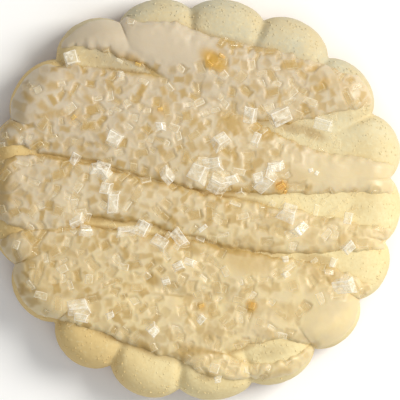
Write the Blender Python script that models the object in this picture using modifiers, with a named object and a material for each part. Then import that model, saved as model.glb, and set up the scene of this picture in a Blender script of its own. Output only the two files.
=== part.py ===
"""A round shortbread biscuit with a fluted edge, drizzled icing and coarse sugar crystals.

Lengths are in metres and +Z is up. The biscuit lies on its flat base, with the shown side up, and
the origin is at the middle of that base. The icing and the sugar are stuck to the biscuit, so the
whole is one solid.
"""

import math
import random

import bmesh
import bpy
from mathutils import Euler, Matrix, Vector, noise

MM = 0.001
BISCUIT = "shortbread_biscuit"

# Outline: the middle of the flutes, seen from the middle of the base, and the circle of notches
OUTLINE_CENTRE = Vector((0.11 * MM, 0.34 * MM, 0.0))
NOTCH_RADIUS = 24.1 * MM
NOTCH_WAVES = ((0.43 * MM, -0.27 * MM), (-0.13 * MM, 0.32 * MM), (0.10 * MM, -0.03 * MM))
FIRST_NOTCH = math.radians(8.4)
TURN_WAVES = tuple(
    (math.radians(cosine), math.radians(sine))
    for cosine, sine in ((1.4, 2.9), (0.6, 1.4), (0.3, 0.5))
)
# How far each flute stands out from its notches, anticlockwise from the first notch
FLUTE_DEPTHS = tuple(
    depth * MM
    for depth in (1.8, 1.7, 1.8, 1.4, 1.6, 2.0, 1.5, 1.3, 1.3, 1.9, 2.1, 1.9, 1.3, 1.5, 1.7, 1.5, 1.2)
)
FLUTES = len(FLUTE_DEPTHS)
FLUTE_ROUNDNESS = 0.85
FLUTE_FADE = 6
COLUMNS_PER_FLUTE = 6
COLUMN_ROUNDS = 12
SHARE_ROUNDS = 5

# Section of the biscuit
TURNED_RADIUS = 25.0 * MM
EDGE_HEIGHT = 4.4 * MM
RIM_HEIGHT = 7.5 * MM
DOME_RISE = 0.6 * MM
ROUNDING = 0.13
TOP_RINGS = (0.0, 0.28, 0.5, 0.68, 0.8, 0.87, 0.92, 0.955, 0.98, 0.994)
SIDE_RINGS = ((1.0, 4.4), (1.005, 2.8), (1.0, 1.3), (0.986, 0.35), (0.966, 0.0), (0.0, 0.0))
CREASE_DEPTH = 0.8 * MM
CREASE_WIDTH = 0.2
PILLOW_RISE = 0.35 * MM
PILLOW_START = 0.76
PILLOW_END = 0.94
WAVINESS = 0.16 * MM
WAVE_LENGTH = 5.0 * MM

# Icing: each band's route as (x, y, half width) in millimetres, from its left end to its right
ICING_THICKNESS = 1.25 * MM
ICING_SPREAD = 1.0 * MM
DRAPE_START = 0.9
DRAPE_REACH = 0.088
RIM_THINNING = 0.6
ROUTE_POINTS = 19
BAND_SIDES = 3
END_STEPS = 2.5
TIP_WIDTH = 0.3 * MM
ICING_ROOT = 0.9 * MM
ICING_BANDS = (
    ((-18.4, 18.8, 1.2), (-15.3, 20.8, 1.8), (-11.8, 21.2, 2.6), (-7.6, 19.9, 2.5), (-3.4, 18.9, 3.3),
     (1.6, 16.5, 3.8), (9.1, 14.2, 4.6), (15.0, 13.6, 3.4), (21.2, 13.4, 1.8), (26.0, 14.2, 1.3)),
    ((-28.5, 7.6, 2.2), (-24.6, 9.8, 3.4), (-20.0, 11.6, 5.2), (-11.8, 10.6, 5.7), (-5.0, 9.2, 5.9),
     (0.7, 7.0, 5.3), (7.0, 5.2, 4.2), (13.2, 3.7, 2.9), (20.5, 3.0, 2.3), (29.0, 2.2, 2.0)),
    ((-29.0, 1.8, 3.2), (-23.0, 1.2, 3.7), (-17.6, 0.4, 4.4), (-13.4, 0.9, 3.1), (-6.8, -0.3, 2.6),
     (0.7, -2.2, 2.6), (6.6, -3.4, 3.0), (13.2, -4.2, 2.6), (20.0, -4.6, 1.8), (28.5, -5.0, 1.5)),
    ((-27.5, -7.4, 2.4), (-21.8, -8.4, 3.4), (-15.0, -8.0, 4.3), (-8.9, -8.0, 4.0), (-2.4, -8.5, 3.5),
     (4.0, -9.6, 3.5), (9.5, -10.9, 3.6), (15.5, -11.4, 3.4), (21.0, -12.7, 2.3), (26.0, -14.2, 1.5)),
    ((-24.0, -11.4, 1.4), (-18.4, -12.6, 2.1), (-13.0, -13.0, 2.9), (-6.8, -14.6, 3.6), (-0.5, -16.2, 4.0),
     (5.4, -15.6, 3.0), (10.7, -14.7, 2.5), (16.6, -15.6, 2.6), (23.5, -15.2, 1.6)),
    ((-3.0, -17.5, 1.4), (2.0, -20.2, 1.7), (7.0, -21.5, 1.0), (13.2, -20.6, 1.2), (17.6, -17.6, 1.8),
     (20.0, -15.6, 0.9)),
)

# Sugar: the large loose crystals as (x, y, length, width, turn in degrees), in millimetres
LOOSE_CRYSTALS = (
    (-15.1, 17.5, 2.0, 1.8, 20), (-9.8, 7.6, 2.2, 2.0, 60), (7.1, 10.4, 2.1, 1.5, 80),
    (10.5, 10.3, 2.4, 2.2, 25), (16.1, 9.3, 2.2, 1.7, -15), (3.4, 7.2, 2.4, 1.7, 35),
    (0.5, 3.1, 2.5, 2.2, 70), (2.3, 4.4, 2.2, 1.8, 10), (2.9, 1.7, 2.7, 2.2, -25),
    (8.9, 2.2, 2.9, 2.1, 45), (10.2, 4.2, 2.0, 1.2, 5), (-3.3, 2.9, 2.0, 1.4, -50),
    (-11.6, 3.7, 2.2, 1.6, -20), (-10.0, -0.4, 2.7, 1.7, 85), (-14.6, -2.6, 1.9, 1.2, 30),
    (-8.6, -4.1, 2.3, 1.1, 3), (-6.4, -3.4, 2.1, 1.9, -25), (-4.3, -5.2, 2.2, 1.6, -38),
    (-1.8, -4.8, 2.4, 1.6, -52), (11.6, -1.6, 2.5, 2.1, -18), (13.1, -3.7, 2.1, 1.2, 42),
    (18.7, -10.9, 2.4, 2.1, 15), (-14.5, -13.4, 2.8, 1.6, 8), (-5.0, -16.2, 1.8, 1.3, 40),
)
LOOSE_HEIGHT = 1.4 * MM
LOOSE_HEIGHT_SPREAD = 0.15
LOOSE_SINK = 0.3
LOOSE_LEAN = math.radians(17)
SUNK_CRYSTALS = 118
SUNK_LENGTHS = (1.2 * MM, 2.1 * MM)
SUNK_WIDTHS = (0.8 * MM, 1.3 * MM)
SUNK_SHOWS = (0.17 * MM, 0.35 * MM)
SUNK_TILT = math.radians(16)
SUNK_SPACING = 2.0 * MM
SUNK_RIM = 0.93
ICED_ENOUGH = 0.45 * MM
SUGAR_SEED = 17
SMOOTH_BELOW = math.radians(35)

# Stretches of icing with no sugar on them, as (x, y, half length, half width) in millimetres
PLAIN_ICING = (
    (-4.0, 19.3, 7.0, 3.0), (19.0, 3.6, 7.5, 2.8), (7.2, -7.6, 4.0, 2.2), (18.5, -15.2, 5.5, 3.2),
)


def clear_scene():
    """Removes every object, so that the file holds only the biscuit."""
    for obj in list(bpy.data.objects):
        bpy.data.objects.remove(obj, do_unlink=True)


def new_collection(name):
    collection = bpy.data.collections.new(name)
    bpy.context.scene.collection.children.link(collection)
    return collection


def new_material(name, colour, roughness):
    material = bpy.data.materials.new(name)
    material.use_nodes = True
    shader = material.node_tree.nodes["Principled BSDF"]
    shader.inputs["Base Color"].default_value = (*colour, 1.0)
    shader.inputs["Roughness"].default_value = roughness
    shader.inputs["Metallic"].default_value = 0.0
    return material


def new_object(name, mesh, collection, material):
    obj = bpy.data.objects.new(name, mesh)
    collection.objects.link(obj)
    if not mesh.materials:
        mesh.materials.append(material)
    return obj


def smooth_step(low, high, value):
    share = min(max((value - low) / (high - low), 0.0), 1.0)
    return share * share * (3.0 - 2.0 * share)


def waves(angle, terms, first):
    """The sum of cosine and sine terms, the first of them with `first` periods in a turn."""
    total = 0.0
    for periods, (cosine, sine) in enumerate(terms, start=first):
        total += cosine * math.cos(periods * angle) + sine * math.sin(periods * angle)
    return total


def place_in_flute(angle):
    """Which flute an angle falls in, and how far it is from that flute's tip: 0 to 1 at a notch."""
    turned = angle + waves(angle, TURN_WAVES, 1) - FIRST_NOTCH
    place = turned * FLUTES / math.tau % FLUTES
    return int(place) % FLUTES, abs(2.0 * (place % 1.0) - 1.0)


def angle_of_column(turned):
    """The true angle of an evenly spaced one, as the real flutes aren't all as wide."""
    angle = turned + FIRST_NOTCH
    for _ in range(COLUMN_ROUNDS):
        angle = turned + FIRST_NOTCH - waves(angle, TURN_WAVES, 1)
    return angle


def flute_reach(angle):
    """The radius of the notches at an angle, and how far the flute stands out from it."""
    flute, off_tip = place_in_flute(angle)
    low = math.sqrt(1.0 - FLUTE_ROUNDNESS**2)
    arc = (math.sqrt(1.0 - (FLUTE_ROUNDNESS * off_tip) ** 2) - low) / (1.0 - low)
    return NOTCH_RADIUS + waves(angle, NOTCH_WAVES, 2), FLUTE_DEPTHS[flute] * arc


def ring_radius(share, angle):
    """The radius of a ring that is `share` of the way out. The flutes fade towards the middle."""
    notch, flute = flute_reach(angle)
    return share * notch + flute * share**FLUTE_FADE


def share_of(radius, angle):
    """The share of the way out that a point lies at, by Newton's steps."""
    notch, flute = flute_reach(angle)
    share = radius / (notch + flute)
    for _ in range(SHARE_ROUNDS):
        off = share * notch + flute * share**FLUTE_FADE - radius
        share -= off / (notch + FLUTE_FADE * flute * share ** (FLUTE_FADE - 1))
    return share


def polar(x, y):
    x, y = x - OUTLINE_CENTRE.x, y - OUTLINE_CENTRE.y
    angle = math.atan2(y, x)
    return share_of(math.hypot(x, y), angle), angle


def spot(share, angle):
    radius = ring_radius(share, angle)
    return (
        OUTLINE_CENTRE.x + radius * math.cos(angle),
        OUTLINE_CENTRE.y + radius * math.sin(angle),
    )


def biscuit_profile(share):
    """The height of the plain turned top: a low dome with a rounded rim."""
    if share < 1.0 - ROUNDING:
        return RIM_HEIGHT + DOME_RISE * (1.0 - (share / (1.0 - ROUNDING)) ** 2)
    inward = max((1.0 - share) / ROUNDING, 0.0)
    return EDGE_HEIGHT + (RIM_HEIGHT - EDGE_HEIGHT) * math.sqrt(1.0 - (1.0 - inward) ** 2)


def biscuit_height(share, angle):
    """The height of the bare top, with each flute like a small pillow between two creases."""
    height = biscuit_profile(share)
    off_tip = place_in_flute(angle)[1]
    pillow = smooth_step(PILLOW_START, PILLOW_END, share)
    height += pillow * PILLOW_RISE * (1.0 - off_tip**2)
    height -= pillow * CREASE_DEPTH * math.exp(-(((1.0 - off_tip) / CREASE_WIDTH) ** 2))
    x, y = spot(share, angle)
    return height + WAVINESS * noise.noise(Vector((x, y, 0.0)) / WAVE_LENGTH)


def route_points(stops):
    """A smooth row of (x, y, half width) through a band's stops, as Catmull and Rom draw it."""
    stops = [Vector(stop) * MM for stop in stops]
    stops = [2.0 * stops[0] - stops[1], *stops, 2.0 * stops[-1] - stops[-2]]
    spans = len(stops) - 3
    points = []
    for step in range(ROUTE_POINTS):
        along = step * spans / (ROUTE_POINTS - 1)
        span = min(int(along), spans - 1)
        t = along - span
        a, b, c, d = stops[span : span + 4]
        point = 0.5 * (
            2.0 * b
            + (c - a) * t
            + (2.0 * a - 5.0 * b + 4.0 * c - d) * t**2
            + (3.0 * b - a - 3.0 * c + d) * t**3
        )
        to_end = min(step, ROUTE_POINTS - 1 - step) / END_STEPS
        point.z = max(point.z * math.sqrt(1.0 - (1.0 - min(to_end, 1.0)) ** 2), TIP_WIDTH)
        points.append(point)
    return points


def band_height(half_width):
    """Icing sets thinner where it runs narrower."""
    return ICING_THICKNESS * half_width / (half_width + ICING_SPREAD)


def nearest_on(route, x, y):
    """The distance to the nearest point of a route's straight links, and the half width there."""
    best = (math.inf, TIP_WIDTH)
    for start, end in zip(route, route[1:]):
        link = (end - start).to_2d()
        along = (Vector((x, y)) - start.to_2d()).dot(link) / link.length_squared
        near = start.lerp(end, min(max(along, 0.0), 1.0))
        best = min(best, (math.hypot(x - near.x, y - near.y), near.z))
    return best


def icing_on(routes, x, y):
    """How thick the icing lies over a spot."""
    thickness = 0.0
    for route in routes:
        distance, half_width = nearest_on(route, x, y)
        if distance < half_width:
            round_over = math.sqrt(1.0 - (distance / half_width) ** 2)
            thickness = max(thickness, band_height(half_width) * round_over)
    return thickness


def mesh_of(obj):
    """The object's mesh as its modifiers or its curve make it."""
    bpy.context.view_layer.update()
    graph = bpy.context.evaluated_depsgraph_get()
    return bpy.data.meshes.new_from_object(obj.evaluated_get(graph))


def turned_blank(collection, material):
    """The turned disc that the flutes are then pressed into: a profile, swept by a Screw."""
    rings = [(ring, biscuit_profile(ring)) for ring in TOP_RINGS]
    rings += [(ring, height * MM) for ring, height in SIDE_RINGS]
    profile = [(ring * TURNED_RADIUS, 0.0, height) for ring, height in rings]
    mesh = bpy.data.meshes.new("profile")
    mesh.from_pydata(profile, [(i, i + 1) for i in range(len(profile) - 1)], [])
    blank = new_object("blank", mesh, collection, material)
    screw = blank.modifiers.new("turn", "SCREW")
    screw.steps = screw.render_steps = FLUTES * COLUMNS_PER_FLUTE
    screw.use_merge_vertices = True
    screw.merge_threshold = 0.00001
    return blank


def press_flutes(mesh):
    """Moves each ring of the turned disc out to the fluted outline, and lays the top's relief."""
    shape = bmesh.new()
    shape.from_mesh(mesh)
    bmesh.ops.remove_doubles(shape, verts=shape.verts, dist=0.001 * MM)
    for vertex in shape.verts:
        share = math.hypot(vertex.co.x, vertex.co.y) / TURNED_RADIUS
        angle = angle_of_column(math.atan2(vertex.co.y, vertex.co.x))
        vertex.co.x, vertex.co.y = spot(share, angle)
        if vertex.co.z > EDGE_HEIGHT + 0.01 * MM:
            vertex.co.z = biscuit_height(share, angle)
    bmesh.ops.recalc_face_normals(shape, faces=shape.faces)
    bmesh.ops.triangulate(shape, faces=shape.faces)
    shape.to_mesh(mesh)
    shape.free()


def make_biscuit(collection, material):
    blank = turned_blank(collection, material)
    mesh = mesh_of(blank)
    bpy.data.objects.remove(blank, do_unlink=True)
    mesh.name = BISCUIT
    press_flutes(mesh)
    return new_object(BISCUIT, mesh, collection, material)


def drape(mesh, route):
    """Lays a round tube of icing on the biscuit: flat, thinner at the rim, and ending on it."""
    shape = bmesh.new()
    shape.from_mesh(mesh)
    bmesh.ops.remove_doubles(shape, verts=shape.verts, dist=0.001 * MM)
    for vertex in shape.verts:
        half_width = nearest_on(route, vertex.co.x, vertex.co.y)[1]
        share, angle = polar(vertex.co.x, vertex.co.y)
        if share > DRAPE_START:
            beyond = (share - DRAPE_START) / DRAPE_REACH
            share = DRAPE_START + DRAPE_REACH * (1.0 - math.exp(-beyond))
        rise = min(max(vertex.co.z / half_width, -1.0), 1.0)
        if rise > 0.0:
            thinning = smooth_step(DRAPE_START, DRAPE_START + DRAPE_REACH, share)
            rise *= band_height(half_width) * (1.0 - RIM_THINNING * thinning)
        else:
            rise *= ICING_ROOT
        vertex.co.x, vertex.co.y = spot(share, angle)
        vertex.co.z = biscuit_height(share, angle) + rise
    bmesh.ops.recalc_face_normals(shape, faces=shape.faces)
    bmesh.ops.triangulate(shape, faces=shape.faces)
    shape.to_mesh(mesh)
    shape.free()


def make_band(index, route, collection, material):
    """One band of icing: a curve with a round section, made a mesh and laid on the biscuit."""
    curve = bpy.data.curves.new(f"icing_route_{index}", "CURVE")
    curve.dimensions = "3D"
    curve.bevel_depth = 1.0
    curve.bevel_resolution = BAND_SIDES
    curve.use_fill_caps = True
    line = curve.splines.new("POLY")
    line.points.add(len(route) - 1)
    for point, knot in zip(line.points, route):
        point.co = (knot.x, knot.y, 0.0, 1.0)
        point.radius = knot.z
    guide = bpy.data.objects.new(curve.name, curve)
    collection.objects.link(guide)
    mesh = mesh_of(guide)
    bpy.data.objects.remove(guide, do_unlink=True)
    drape(mesh, route)
    return new_object(f"icing_{index}", mesh, collection, material)


def make_crystal(name, size, pose, place, collection, material):
    """One sugar crystal: a block with its place, size and pose in its mesh."""
    mesh = bpy.data.meshes.new(name)
    shape = bmesh.new()
    bmesh.ops.create_cube(shape, size=1.0)
    matrix = Matrix.Translation(place) @ pose.to_matrix().to_4x4() @ Matrix.Diagonal((*size, 1.0))
    bmesh.ops.transform(shape, matrix=matrix, verts=shape.verts)
    shape.to_mesh(mesh)
    shape.free()
    return new_object(name, mesh, collection, material)


def surface_height(routes, x, y):
    share, angle = polar(x, y)
    return biscuit_height(share, angle) + icing_on(routes, x, y)


def add_loose_crystals(routes, collection, material):
    """The large crystals that lie on top, each leaning a little."""
    draw = random.Random(SUGAR_SEED)
    for index, (x, y, length, width, turn) in enumerate(LOOSE_CRYSTALS):
        x, y = x * MM, y * MM
        height = LOOSE_HEIGHT * (1.0 + draw.uniform(-LOOSE_HEIGHT_SPREAD, LOOSE_HEIGHT_SPREAD))
        lean = (draw.uniform(-LOOSE_LEAN, LOOSE_LEAN), draw.uniform(-LOOSE_LEAN, LOOSE_LEAN))
        rise = surface_height(routes, x, y) + height * (0.5 - LOOSE_SINK)
        size = (length * MM, width * MM, height)
        pose = Euler((*lean, math.radians(turn)))
        make_crystal(f"loose_{index}", size, pose, (x, y, rise), collection, material)


def sugar_spots(routes):
    """Spots for the sunk crystals: apart from each other, on the icing, clear of its plain parts."""
    draw = random.Random(SUGAR_SEED)
    taken = [(x * MM, y * MM) for x, y, _, _, _ in LOOSE_CRYSTALS]
    found = []
    while len(found) < SUNK_CRYSTALS:
        share = math.sqrt(draw.random()) * SUNK_RIM
        x, y = spot(share, draw.uniform(0.0, math.tau))
        if icing_on(routes, x, y) < ICED_ENOUGH:
            continue
        if any(math.hypot(x - a, y - b) < SUNK_SPACING for a, b in taken):
            continue
        if any(
            ((x / MM - a) / half_length) ** 2 + ((y / MM - b) / half_width) ** 2 < 1.0
            for a, b, half_length, half_width in PLAIN_ICING
        ):
            continue
        taken.append((x, y))
        found.append((x, y))
    return found


def add_sunk_crystals(routes, collection, material):
    """The crystals that sank into the wet icing, with a corner or a face left above it."""
    draw = random.Random(SUGAR_SEED + 1)
    for index, (x, y) in enumerate(sugar_spots(routes)):
        height = draw.uniform(*SUNK_WIDTHS)
        size = (draw.uniform(*SUNK_LENGTHS), draw.uniform(*SUNK_WIDTHS), height)
        tilt = (draw.uniform(-SUNK_TILT, SUNK_TILT), draw.uniform(-SUNK_TILT, SUNK_TILT))
        pose = Euler((*tilt, draw.uniform(0.0, math.pi)))
        rise = surface_height(routes, x, y) + draw.uniform(*SUNK_SHOWS) - height / 2.0
        make_crystal(f"sunk_{index}", size, pose, (x, y, rise), collection, material)


def keep_one_body(mesh):
    """Drops a loose scrap or the wall of a sealed hollow, which the fusing may leave."""
    shape = bmesh.new()
    shape.from_mesh(mesh)
    bmesh.ops.remove_doubles(shape, verts=shape.verts, dist=0.0005 * MM)
    unseen = set(shape.verts)
    bodies = []
    while unseen:
        edge = [unseen.pop()]
        body = list(edge)
        while edge:
            linked = {link.other_vert(vertex) for vertex in edge for link in vertex.link_edges}
            edge = list(linked & unseen)
            unseen.difference_update(edge)
            body.extend(edge)
        bodies.append(body)
    largest = max(bodies, key=len)
    spare = [vertex for body in bodies if body is not largest for vertex in body]
    bmesh.ops.delete(shape, geom=spare, context="VERTS")
    shape.to_mesh(mesh)
    shape.free()


def fuse(biscuit, toppings):
    """Joins the icing and the sugar to the biscuit as one body, and removes their objects."""
    union = biscuit.modifiers.new("toppings", "BOOLEAN")
    union.operation = "UNION"
    union.operand_type = "COLLECTION"
    union.collection = toppings
    union.solver = "EXACT"
    union.material_mode = "TRANSFER"
    whole = mesh_of(biscuit)
    biscuit.modifiers.clear()
    biscuit.data = whole
    whole.name = BISCUIT
    whole.shade_smooth()
    whole.set_sharp_from_angle(angle=SMOOTH_BELOW)
    for obj in list(toppings.objects):
        bpy.data.objects.remove(obj, do_unlink=True)
    bpy.data.collections.remove(toppings)
    keep_one_body(whole)


def main():
    clear_scene()
    parts = new_collection("shortbread")
    toppings = new_collection("toppings")
    baked = new_material("baked_shortbread", (0.72, 0.50, 0.26), 0.85)
    icing = new_material("cream_icing", (0.82, 0.72, 0.55), 0.45)
    sugar = new_material("clear_sugar", (0.86, 0.78, 0.60), 0.15)
    biscuit = make_biscuit(parts, baked)
    routes = [route_points(stops) for stops in ICING_BANDS]
    for index, route in enumerate(routes):
        make_band(index, route, toppings, icing)
    add_loose_crystals(routes, toppings, sugar)
    add_sunk_crystals(routes, toppings, sugar)
    fuse(biscuit, toppings)


if __name__ == "__main__":
    main()
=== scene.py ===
"""The looks of a round, fluted shortbread biscuit with drizzled icing and coarse clear sugar.

Lengths are in metres and +Z is up. The biscuit lies on its flat base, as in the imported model, and
every piece here stands for that one solid: the baked biscuit with its crumb, two sheets of icing,
and the sugar and grains that lie on them.
"""

import logging
import math
import random
from dataclasses import dataclass, replace
from enum import Enum
from functools import cache

import bmesh
import bpy
import numpy as np
from mathutils import Euler, Matrix, Vector, noise


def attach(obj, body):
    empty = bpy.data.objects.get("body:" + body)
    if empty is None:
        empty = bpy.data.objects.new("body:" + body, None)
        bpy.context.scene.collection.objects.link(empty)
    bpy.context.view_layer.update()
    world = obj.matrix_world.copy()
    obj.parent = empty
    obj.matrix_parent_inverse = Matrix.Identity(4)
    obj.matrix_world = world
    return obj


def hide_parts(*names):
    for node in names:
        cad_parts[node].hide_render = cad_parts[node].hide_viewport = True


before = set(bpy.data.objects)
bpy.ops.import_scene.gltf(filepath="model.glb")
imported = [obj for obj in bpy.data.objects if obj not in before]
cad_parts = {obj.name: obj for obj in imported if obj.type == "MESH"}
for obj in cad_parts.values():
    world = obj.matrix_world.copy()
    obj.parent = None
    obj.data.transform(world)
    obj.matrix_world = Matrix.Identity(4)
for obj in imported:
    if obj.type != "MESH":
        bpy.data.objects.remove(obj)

MM = 0.001
NODE = "shortbread_biscuit"
log = logging.getLogger(NODE)

# The Mix node's sockets share their names, so they are taken by number
NUMBER_A, NUMBER_B, NUMBER_OUT = 2, 3, 0
COLOUR_A, COLOUR_B, COLOUR_OUT = 6, 7, 2

Array = np.ndarray
Colour = tuple[float, float, float]
Place = tuple[float, float, float]
Socket = bpy.types.NodeSocket


def smooth_step(low: float, high: float, value: Array) -> Array:
    """Rises from 0 at `low` to 1 at `high`.

    Args:
        low: where the rise starts.
        high: where it ends.
        value: the numbers to judge.

    Returns:
        The smooth share of the way.
    """
    share = np.clip((value - low) / (high - low), 0.0, 1.0)
    return share * share * (3.0 - 2.0 * share)


def smooth_max(first: Array, second: Array, blend: float) -> Array:
    """The larger of two heights, with a soft valley where they meet.

    Args:
        first: one row of heights.
        second: the other.
        blend: the width of the soft valley, as a height.

    Returns:
        The joined heights.
    """
    near = np.clip(blend - np.abs(first - second), 0.0, None) / blend
    return np.maximum(first, second) + near * near * blend / 4.0


def noise_at(points: Array, size: float, shift: float = 0.0) -> Array:
    """Smooth noise from -1 to 1 at each point.

    Args:
        points: rows of x, y and z.
        size: the width of the noise's features.
        shift: moves the noise, so that two of them differ.

    Returns:
        One number a point.
    """
    scaled = points / size + shift
    return np.fromiter((noise.noise(Vector(spot)) for spot in scaled), float, len(scaled))


def rows(x: Array, y: Array, z: Array | float = 0.0) -> Array:
    """The points of these coordinates, one a row."""
    return np.column_stack([x, y, np.broadcast_to(z, np.shape(x))])


@dataclass(frozen=True)
class Ripple:
    """Smooth noise: how high it stands, how wide its features are, and its shift from others."""

    height: float
    width: float
    shift: float = 0.0

    def at(self, points: Array) -> Array:
        """The noise's height at each point."""
        return self.height * noise_at(points, self.width, self.shift)


def drawn_lean(draw: random.Random, most: float) -> tuple[float, float]:
    """A lean along two axes, each up to `most` either way."""
    return draw.uniform(-most, most), draw.uniform(-most, most)


def points_of(mesh: bpy.types.Mesh) -> Array:
    """The mesh's vertices as rows of x, y and z.

    Args:
        mesh: the mesh to read.

    Returns:
        One row a vertex.
    """
    flat = np.empty(len(mesh.vertices) * 3)
    mesh.vertices.foreach_get("co", flat)
    return flat.reshape(-1, 3)


def move_points(mesh: bpy.types.Mesh, points: Array) -> None:
    """Puts the mesh's vertices at these rows."""
    mesh.vertices.foreach_set("co", np.ascontiguousarray(points, np.float64).ravel())
    mesh.update()


def normals_of(mesh: bpy.types.Mesh) -> Array:
    """The mesh's vertex normals as rows.

    Args:
        mesh: the mesh to read.

    Returns:
        One row a vertex, each of length 1.
    """
    flat = np.empty(len(mesh.vertices) * 3)
    mesh.vertex_normals.foreach_get("vector", flat)
    return flat.reshape(-1, 3)


def paint(mesh: bpy.types.Mesh, name: str, values: Array) -> None:
    """Stores one number a vertex under a name, for the materials to read."""
    layer = mesh.attributes.new(name, "FLOAT", "POINT")
    layer.data.foreach_set("value", np.ascontiguousarray(values, np.float32))


def take_layer(mesh: bpy.types.Mesh, name: str) -> Array:
    """Reads a whole number a vertex from the mesh, and removes it there.

    Args:
        mesh: the mesh that holds it.
        name: its name.

    Returns:
        The number at each vertex.
    """
    layer = mesh.attributes[name]
    values = np.empty(len(mesh.vertices), np.int32)
    layer.data.foreach_get("value", values)
    mesh.attributes.remove(layer)
    return values


def mesh_from(shape: bmesh.types.BMesh, name: str) -> bpy.types.Mesh:
    """Turns a bmesh into a mesh of that name, and frees it.

    Args:
        shape: the bmesh.
        name: the mesh's name.

    Returns:
        The mesh.
    """
    mesh = bpy.data.meshes.new(name)
    shape.to_mesh(mesh)
    shape.free()
    return mesh


def add_piece(mesh: bpy.types.Mesh, material: bpy.types.Material) -> bpy.types.Object:
    """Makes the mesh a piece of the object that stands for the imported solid.

    Args:
        mesh: its shape, with its place in it.
        material: its finish.

    Returns:
        The new object.
    """
    piece = bpy.data.objects.new(mesh.name, mesh)
    bpy.context.scene.collection.objects.link(piece)
    mesh.materials.append(material)
    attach(piece, "root")
    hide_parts(NODE)
    mesh.calc_loop_triangles()
    log.info("%s: %d triangles", mesh.name, len(mesh.loop_triangles))
    return piece


@dataclass(frozen=True)
class Outline:
    """The fluted outline, seen from above."""

    centre: tuple[float, float] = (0.11 * MM, 0.34 * MM)
    notch_radius: float = 24.1 * MM
    notch_waves: tuple = ((0.43 * MM, -0.27 * MM), (-0.13 * MM, 0.32 * MM), (0.10 * MM, -0.03 * MM))
    first_notch: float = math.radians(8.4)
    turn_waves: tuple = tuple(
        (math.radians(cosine), math.radians(sine))
        for cosine, sine in ((1.4, 2.9), (0.6, 1.4), (0.3, 0.5))
    )
    depths: tuple = (
        1.8, 1.7, 1.8, 1.4, 1.6, 2.0, 1.5, 1.3, 1.3, 1.9, 2.1, 1.9, 1.3, 1.5, 1.7, 1.5, 1.2,
    )
    roundness: float = 0.85
    fade: int = 6
    rounds: int = 6

    def waves(self, angle: Array, terms: tuple, first: int) -> Array:
        """The sum of cosine and sine terms round the outline.

        Args:
            angle: where, in radians.
            terms: each term's cosine and sine part.
            first: the first term's number of periods in a turn.

        Returns:
            The sum at each angle.
        """
        total = np.zeros_like(angle)
        for periods, (cosine, sine) in enumerate(terms, start=first):
            total += cosine * np.cos(periods * angle) + sine * np.sin(periods * angle)
        return total

    def place(self, angle: Array) -> tuple[Array, Array]:
        """Which flute each angle falls in, and how far from its tip: 0 to 1 at a notch.

        Args:
            angle: where, in radians.

        Returns:
            The flute's number, and the share of the way from its tip.
        """
        turned = angle + self.waves(angle, self.turn_waves, 1) - self.first_notch
        place = turned * len(self.depths) / math.tau % len(self.depths)
        return place.astype(int) % len(self.depths), np.abs(2.0 * (place % 1.0) - 1.0)

    def reach(self, angle: Array) -> tuple[Array, Array]:
        """The radius of the notches, and how far the flute stands out from it.

        Args:
            angle: where, in radians.

        Returns:
            Both, at each angle.
        """
        flute, off_tip = self.place(angle)
        low = math.sqrt(1.0 - self.roundness**2)
        arc = (np.sqrt(1.0 - (self.roundness * off_tip) ** 2) - low) / (1.0 - low)
        notch = self.notch_radius + self.waves(angle, self.notch_waves, 2)
        return notch, np.asarray(self.depths)[flute] * MM * arc

    def radius(self, share: Array, angle: Array) -> Array:
        """The radius of a ring that is `share` of the way out."""
        notch, flute = self.reach(angle)
        return share * notch + flute * share**self.fade

    def polar(self, x: Array, y: Array) -> tuple[Array, Array]:
        """The share of the way out and the angle of each spot.

        Args:
            x: the spots' x.
            y: their y.

        Returns:
            Both, at each spot.
        """
        x, y = x - self.centre[0], y - self.centre[1]
        angle, radius = np.arctan2(y, x), np.hypot(x, y)
        notch, flute = self.reach(angle)
        share = radius / (notch + flute)
        for _ in range(self.rounds):
            off = share * notch + flute * share**self.fade - radius
            share -= off / (notch + self.fade * flute * share ** (self.fade - 1))
        return share, angle

    def spot(self, share: Array, angle: Array) -> tuple[Array, Array]:
        """The x and y of a share of the way out at an angle."""
        radius = self.radius(share, angle)
        return self.centre[0] + radius * np.cos(angle), self.centre[1] + radius * np.sin(angle)


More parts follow.
